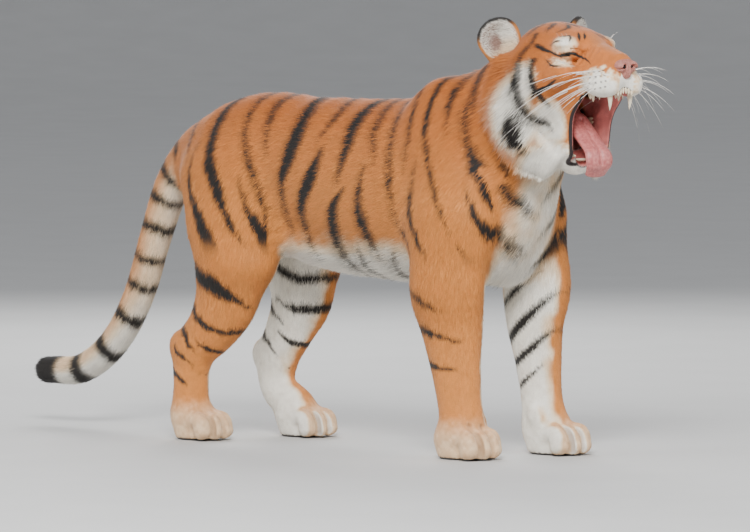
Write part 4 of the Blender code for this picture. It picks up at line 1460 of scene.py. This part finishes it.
def piece_of(name, masses, voxel, made):
    """One object, from some masses."""
    return new_piece(name, *surface_of(masses, voxel), made)


def ring(centre, radius, u, v, sides, flat=1.0):
    """Points round a centre, in the plane of u and v."""
    turns = [2 * math.pi * k / sides for k in range(sides)]
    return [centre + radius * (math.cos(turn) * u + flat * math.sin(turn) * v) for turn in turns]


def ring_faces(rings, sides, first=0):
    """The faces between rings of points that follow one another."""
    faces = []
    for start in range(first, first + (rings - 1) * sides, sides):
        for k in range(sides):
            a, b = start + k, start + (k + 1) % sides
            faces.append((a, b, b + sides, a + sides))
    return faces


def capped(rings, sides):
    """The faces of a body made of rings, with its two ends."""
    ends = [tuple(reversed(range(sides))), tuple(range((rings - 1) * sides, rings * sides))]
    return ring_faces(rings, sides) + ends


def fang(frame, foot, tip, radius, bend=(0, 0, 0), flat=0.85, rings=10, sides=14, blunt=1.7):
    """A tooth as rings round a bent line: points and faces."""
    foot, tip, bend = Vector(foot), Vector(tip), Vector(bend)
    points = []
    for i in range(rings):
        t = i / (rings - 1)
        centre = foot.lerp(tip, t) + bend * (4 * t * (1 - t))
        along = (tip - foot + bend * (4 - 8 * t)).normalized()
        u = along.cross(Vector((0, 1, 0))).normalized()
        r = radius * max((1 - t**blunt) ** 0.75, 0.06)
        points += [frame @ point for point in ring(centre, r, u, along.cross(u), sides, flat)]
    return points, capped(rings, sides)


def joined(name, parts, made):
    """One object, from the points and faces of many parts."""
    points, faces = [], []
    for part_points, part_faces in parts:
        faces += [tuple(i + len(points) for i in f) for f in part_faces]
        points += [tuple(p) for p in part_points]
    piece = new_piece(name, points, faces, made)
    mesh = bmesh.new()
    mesh.from_mesh(piece.data)
    bmesh.ops.recalc_face_normals(mesh, faces=mesh.faces)
    mesh.to_mesh(piece.data)
    mesh.free()


def cheek_teeth(frame, s, teeth, apart, flat, rear=0.0):
    """Two cusps for each tooth, given as x, y, size and tip height; the back one's tip is `rear` higher."""
    parts = []
    for x, y, size, tip in teeth:
        for along in (-apart, apart):
            foot = (x + along * size, s * y, 0.004)
            cusp = (x + along * size, s * y, tip + rear * (along < 0))
            parts.append(fang(frame, foot, cusp, size * 0.8, flat=flat, rings=6, blunt=2.4))
    return parts


def upper_teeth():
    teeth = [(-0.074, 0.038, 0.007, -0.026), (-0.098, 0.042, 0.0105, -0.03)]
    parts = []
    for s in SIDES.values():
        foot, tip = (-0.042, s * 0.034, 0.02), (-0.038, s * 0.032, -0.055)
        parts.append(fang(HEAD, foot, tip, 0.0106, (0.007, 0, 0)))
        for i in range(3):
            y, size = s * (0.0045 + 0.0088 * i), 0.0042 + 0.0007 * i
            foot, tip = (-0.018, y, 0.008), (-0.013, y, -0.015 - 0.003 * i)
            parts.append(fang(HEAD, foot, tip, size, (0.002, 0, 0), flat=0.75, rings=6, blunt=4))
        parts += cheek_teeth(HEAD, s, teeth, 0.55, flat=0.55, rear=0.007)
    return parts


def lower_teeth():
    teeth = [(0.162, 0.043, 0.0075, 0.038), (0.138, 0.045, 0.0085, 0.04), (0.112, 0.047, 0.01, 0.04)]
    parts = []
    for s in SIDES.values():
        parts.append(fang(JAW, (0.208, s * 0.038, -0.004), (0.212, s * 0.042, 0.052), 0.0098, (-0.006, 0, 0)))
        for i in range(3):
            y = s * (0.004 + 0.0078 * i)
            parts.append(fang(JAW, (0.212, y, 0.0), (0.215, y, 0.033), 0.0038, flat=0.75, rings=6, blunt=4))
        parts += cheek_teeth(JAW, s, teeth, 0.5, flat=0.5)
    return parts


def tube(path, radius, sides=5):
    """A tapering round tube along some points."""
    points = []
    last = len(path) - 1
    for i, centre in enumerate(path):
        along = (path[min(i + 1, last)] - path[max(i - 1, 0)]).normalized()
        u = along.orthogonal().normalized()
        points += ring(centre, radius * (1 - 0.85 * i / last), u, along.cross(u), sides)
    return points, capped(len(path), sides)


def whisker_roots(s):
    """Four rows of roots on a whisker pad, in the head's frame."""
    for row in range(4):
        for k in range(5 + (row % 2)):
            x = -0.034 - 0.0145 * k - 0.004 * row
            yield row, k, Vector((x, s * (0.052 + 0.004 * k), 0.048 - 0.0125 * row - 0.001 * k))


def whiskers(skin_tree):
    """Long stiff whiskers from the pads, and a few over the eyes."""
    rng = np.random.default_rng(5)
    turn = HEAD.to_3x3()
    centre = HEAD @ Vector((-0.06, 0, 0.025))
    parts = []
    for side, s in SIDES.items():
        for row, k, at in whisker_roots(s):
            outward = (HEAD @ at - centre).normalized()
            root, normal, _, _ = skin_tree.ray_cast(centre + outward * 0.12, -outward)
            if root is None:
                continue
            reach = (0.105 + 0.022 * k) * (1 + 0.1 * rng.normal())
            sweep = Vector((0.4 - 0.3 * k, s * 1.0, 0.16 - 0.16 * row))
            if side == "right":
                sweep = Vector((-0.25 - 0.28 * k, s * 0.9, -0.02 - 0.15 * row))
                reach *= 0.85
            way = (turn @ sweep.normalized() + 0.3 * normal).normalized()
            fall = Vector((-0.1, 0, -0.34)) * reach
            path = [root - 0.002 * normal + way * reach * t + fall * t * t for t in np.linspace(0, 1, 9)]
            parts.append(tube(path, 0.0011))
        for k in range(3):
            root = HEAD @ Vector((-0.15 - 0.01 * k, s * (0.07 + 0.006 * k), 0.135))
            way = turn @ Vector((0.35, s * 0.5, 0.8)).normalized()
            path = [root + way * 0.036 * t - Vector((0, 0, 0.01)) * t * t for t in np.linspace(0, 1, 6)]
            parts.append(tube(path, 0.0004))
    return parts


# ---- Materials ----------------------------------------------------------------------------------------
class Look:
    """A material, whose shader's inputs are given by name."""

    def __init__(self, name, inputs):
        self.made = bpy.data.materials.new(name)
        self.made.use_nodes = True
        self.nodes, self.link = self.made.node_tree.nodes, self.made.node_tree.links.new
        self.shader = self.nodes["Principled BSDF"]
        for key, value in inputs.items():
            self.shader.inputs[key].default_value = value

    def node(self, kind, **inputs):
        made = self.nodes.new("ShaderNode" + kind)
        for key, value in inputs.items():
            made.inputs[key].default_value = value
        return made

    def noise(self, scale, detail=3.0, stretch=(1, 1, 1)):
        """A noise texture in the object's own coordinates."""
        mapping = self.node("Mapping", Scale=stretch)
        texture = self.node("TexNoise", Scale=scale, Detail=detail)
        self.link(self.node("TexCoord").outputs["Object"], mapping.inputs["Vector"])
        self.link(mapping.outputs["Vector"], texture.inputs["Vector"])
        return texture.outputs["Fac"]

    def mottle(self, factor, dark, light, ends=(0, 1)):
        """Two colours mixed by a texture."""
        ramp = self.node("ValToRGB")
        for element, colour, position in zip(ramp.color_ramp.elements, (dark, light), ends):
            element.position, element.color = position, (*colour, 1)
        self.link(factor, ramp.inputs["Fac"])
        self.link(ramp.outputs["Color"], self.shader.inputs["Base Color"])

    def bump(self, height, distance, strength=1.0):
        bump = self.node("Bump", Distance=distance, Strength=strength)
        self.link(height, bump.inputs["Height"])
        self.link(bump.outputs["Normal"], self.shader.inputs["Normal"])


def fur_material(name, bump):
    """Hair coloured by the mesh's own colours, made lighter and darker by a fine grain."""
    shine = {"Roughness": 0.62, "Specular IOR Level": 0.3, "Sheen Weight": 0.12, "Sheen Roughness": 0.5}
    look = Look(name, shine)
    colour = look.node("Attribute")
    colour.attribute_name = "coat"
    grain = look.noise(420, 4)
    span = look.node("MapRange")
    span.inputs["To Min"].default_value, span.inputs["To Max"].default_value = 0.82, 1.18
    look.link(grain, span.inputs["Value"])
    scaled = look.node("VectorMath")
    scaled.operation = "SCALE"
    look.link(colour.outputs["Color"], scaled.inputs[0])
    look.link(span.outputs["Result"], scaled.inputs["Scale"])
    look.link(scaled.outputs["Vector"], look.shader.inputs["Base Color"])
    look.bump(grain, bump)
    return look.made


def wet_material(name, dark, light, scale, distance, roughness):
    """Moist flesh: two colours mottled together, and a fine grain."""
    depth = {"Subsurface Weight": 0.08, "Subsurface Radius": (0.006, 0.002, 0.001)}
    look = Look(name, {"Roughness": roughness, **depth})
    look.mottle(look.noise(scale / 6), dark, light, ends=(0.32, 0.68))
    cells = look.node("TexVoronoi", Scale=scale)
    look.link(look.node("TexCoord").outputs["Object"], cells.inputs["Vector"])
    look.bump(cells.outputs["Distance"], distance, 0.6)
    return look.made


def tooth_material():
    """Ivory, browner in streaks along the tooth."""
    look = Look("tooth", {"Roughness": 0.28})
    look.mottle(look.noise(60, 5, (1, 1, 0.25)), (0.62, 0.47, 0.27), (0.86, 0.8, 0.65))
    look.bump(look.noise(500, 2, (1, 1, 0.15)), 0.00012)
    return look.made


def whisker_material():
    look = Look("whisker", {"Roughness": 0.35})
    look.mottle(look.noise(40), (0.62, 0.57, 0.5), (0.9, 0.88, 0.83))
    return look.made


def floor_material():
    look = Look("floor", {"Roughness": 0.85})
    look.mottle(look.noise(3), (0.5, 0.5, 0.49), (0.56, 0.56, 0.55))
    return look.made


# ---- The studio ---------------------------------------------------------------------------------------
CAMERA_AZIMUTH = math.radians(40)
CAMERA_ELEVATION = math.radians(3)
CAMERA_TARGET = Vector((0.106, 0.0, 0.55))
CAMERA_DISTANCE = 16.0
SENSOR = 36.0
METRES_PER_FRAME = 750 / 370
CAMERA_SHIFT = (0.019, -0.031)
LAMP_TARGET = Vector((0, 0, 0.6))


def make_camera():
    data = bpy.data.cameras.new("camera")
    data.sensor_width = SENSOR
    data.lens = SENSOR * CAMERA_DISTANCE / METRES_PER_FRAME
    data.shift_x, data.shift_y = CAMERA_SHIFT
    data.clip_end = 100
    level = math.cos(CAMERA_ELEVATION)
    back = Vector(
        (math.sin(CAMERA_AZIMUTH) * level, -math.cos(CAMERA_AZIMUTH) * level, math.sin(CAMERA_ELEVATION))
    )
    camera = linked("camera", data)
    camera.location = CAMERA_TARGET + back * CAMERA_DISTANCE
    camera.rotation_euler = (-back).to_track_quat("-Z", "Y").to_euler()
    bpy.context.scene.camera = camera


def make_floor():
    """A wide floor whose edge curves up, so that no line shows behind the tiger."""
    profile = smooth_path([(1.0, 0), (26, 0), (33, 0.8), (37, 3), (40, 7), (41, 14)])
    sides = 96
    points = [Vector((0, 0, 0))]
    for radius, height in profile:
        centre = Vector((0, 0, max(height, 0)))
        points += ring(centre, float(radius), Vector((1, 0, 0)), Vector((0, 1, 0)), sides)
    faces = [(0, 1 + k, 1 + (k + 1) % sides) for k in range(sides)]
    faces += [face[::-1] for face in ring_faces(len(profile), sides, first=1)]
    data = bpy.data.meshes.new("floor")
    data.from_pydata(points, [], faces)
    data.shade_smooth()
    data.materials.append(floor_material())
    linked("floor", data)


def make_studio():
    make_floor()
    lamps = {  # place, size and power
        "key": ((3.4, -4.6, 4.6), 2.2, 620),
        "fill": ((4.8, 1.4, 2.2), 3.5, 90),
        "back": ((-3.4, 3.4, 3.6), 3.0, 260),
        "left": ((-3.2, -3.6, 2.0), 3.5, 90),
    }
    for name, (place, size, power) in lamps.items():
        light = bpy.data.lights.new(name, "AREA")
        light.size = size
        light.energy = power
        lamp = linked(name, light)
        lamp.location = place
        lamp.rotation_euler = (LAMP_TARGET - Vector(place)).to_track_quat("-Z", "Y").to_euler()
    world = bpy.data.worlds.new("studio")
    world.use_nodes = True
    sky = world.node_tree.nodes["Background"].inputs
    sky["Color"].default_value = (0.93, 0.95, 1.0, 1)
    sky["Strength"].default_value = 0.6
    bpy.context.scene.world = world


# ---- All together -------------------------------------------------------------------------------------
def main():
    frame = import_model()
    make_camera()
    make_studio()
    skin = Skin(fur_material("hide", 0.0012))
    own = ("nose", "tongue")
    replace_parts(skin.object, *(name for name in frame["nodes"] if name not in own))

    flesh = wet_material("mouth_flesh", (0.38, 0.095, 0.09), (0.56, 0.19, 0.17), 900, 0.0004, 0.34)
    leather = wet_material("nose_leather", (0.3, 0.1, 0.075), (0.47, 0.19, 0.15), 1300, 0.0005, 0.42)
    ivory = tooth_material()
    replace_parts(piece_of("nose_leather", nose(), 0.0013, leather), "nose")
    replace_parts(piece_of("tongue_flesh", tongue(), 0.0022, flesh), "tongue")
    piece_of("palate", palate(), 0.0022, flesh)
    joined("teeth_upper", upper_teeth(), ivory)
    joined("teeth_lower", lower_teeth(), ivory)

    faces = [tuple(face.vertices) for face in skin.object.data.polygons]
    tree = BVHTree.FromPolygons(skin.points.tolist(), faces)
    joined("whiskers", whiskers(tree), whisker_material())
    write_colours(skin.object.data, skin.colours)
    make_coat(skin, fur_material("coat", 0.0002))


main()
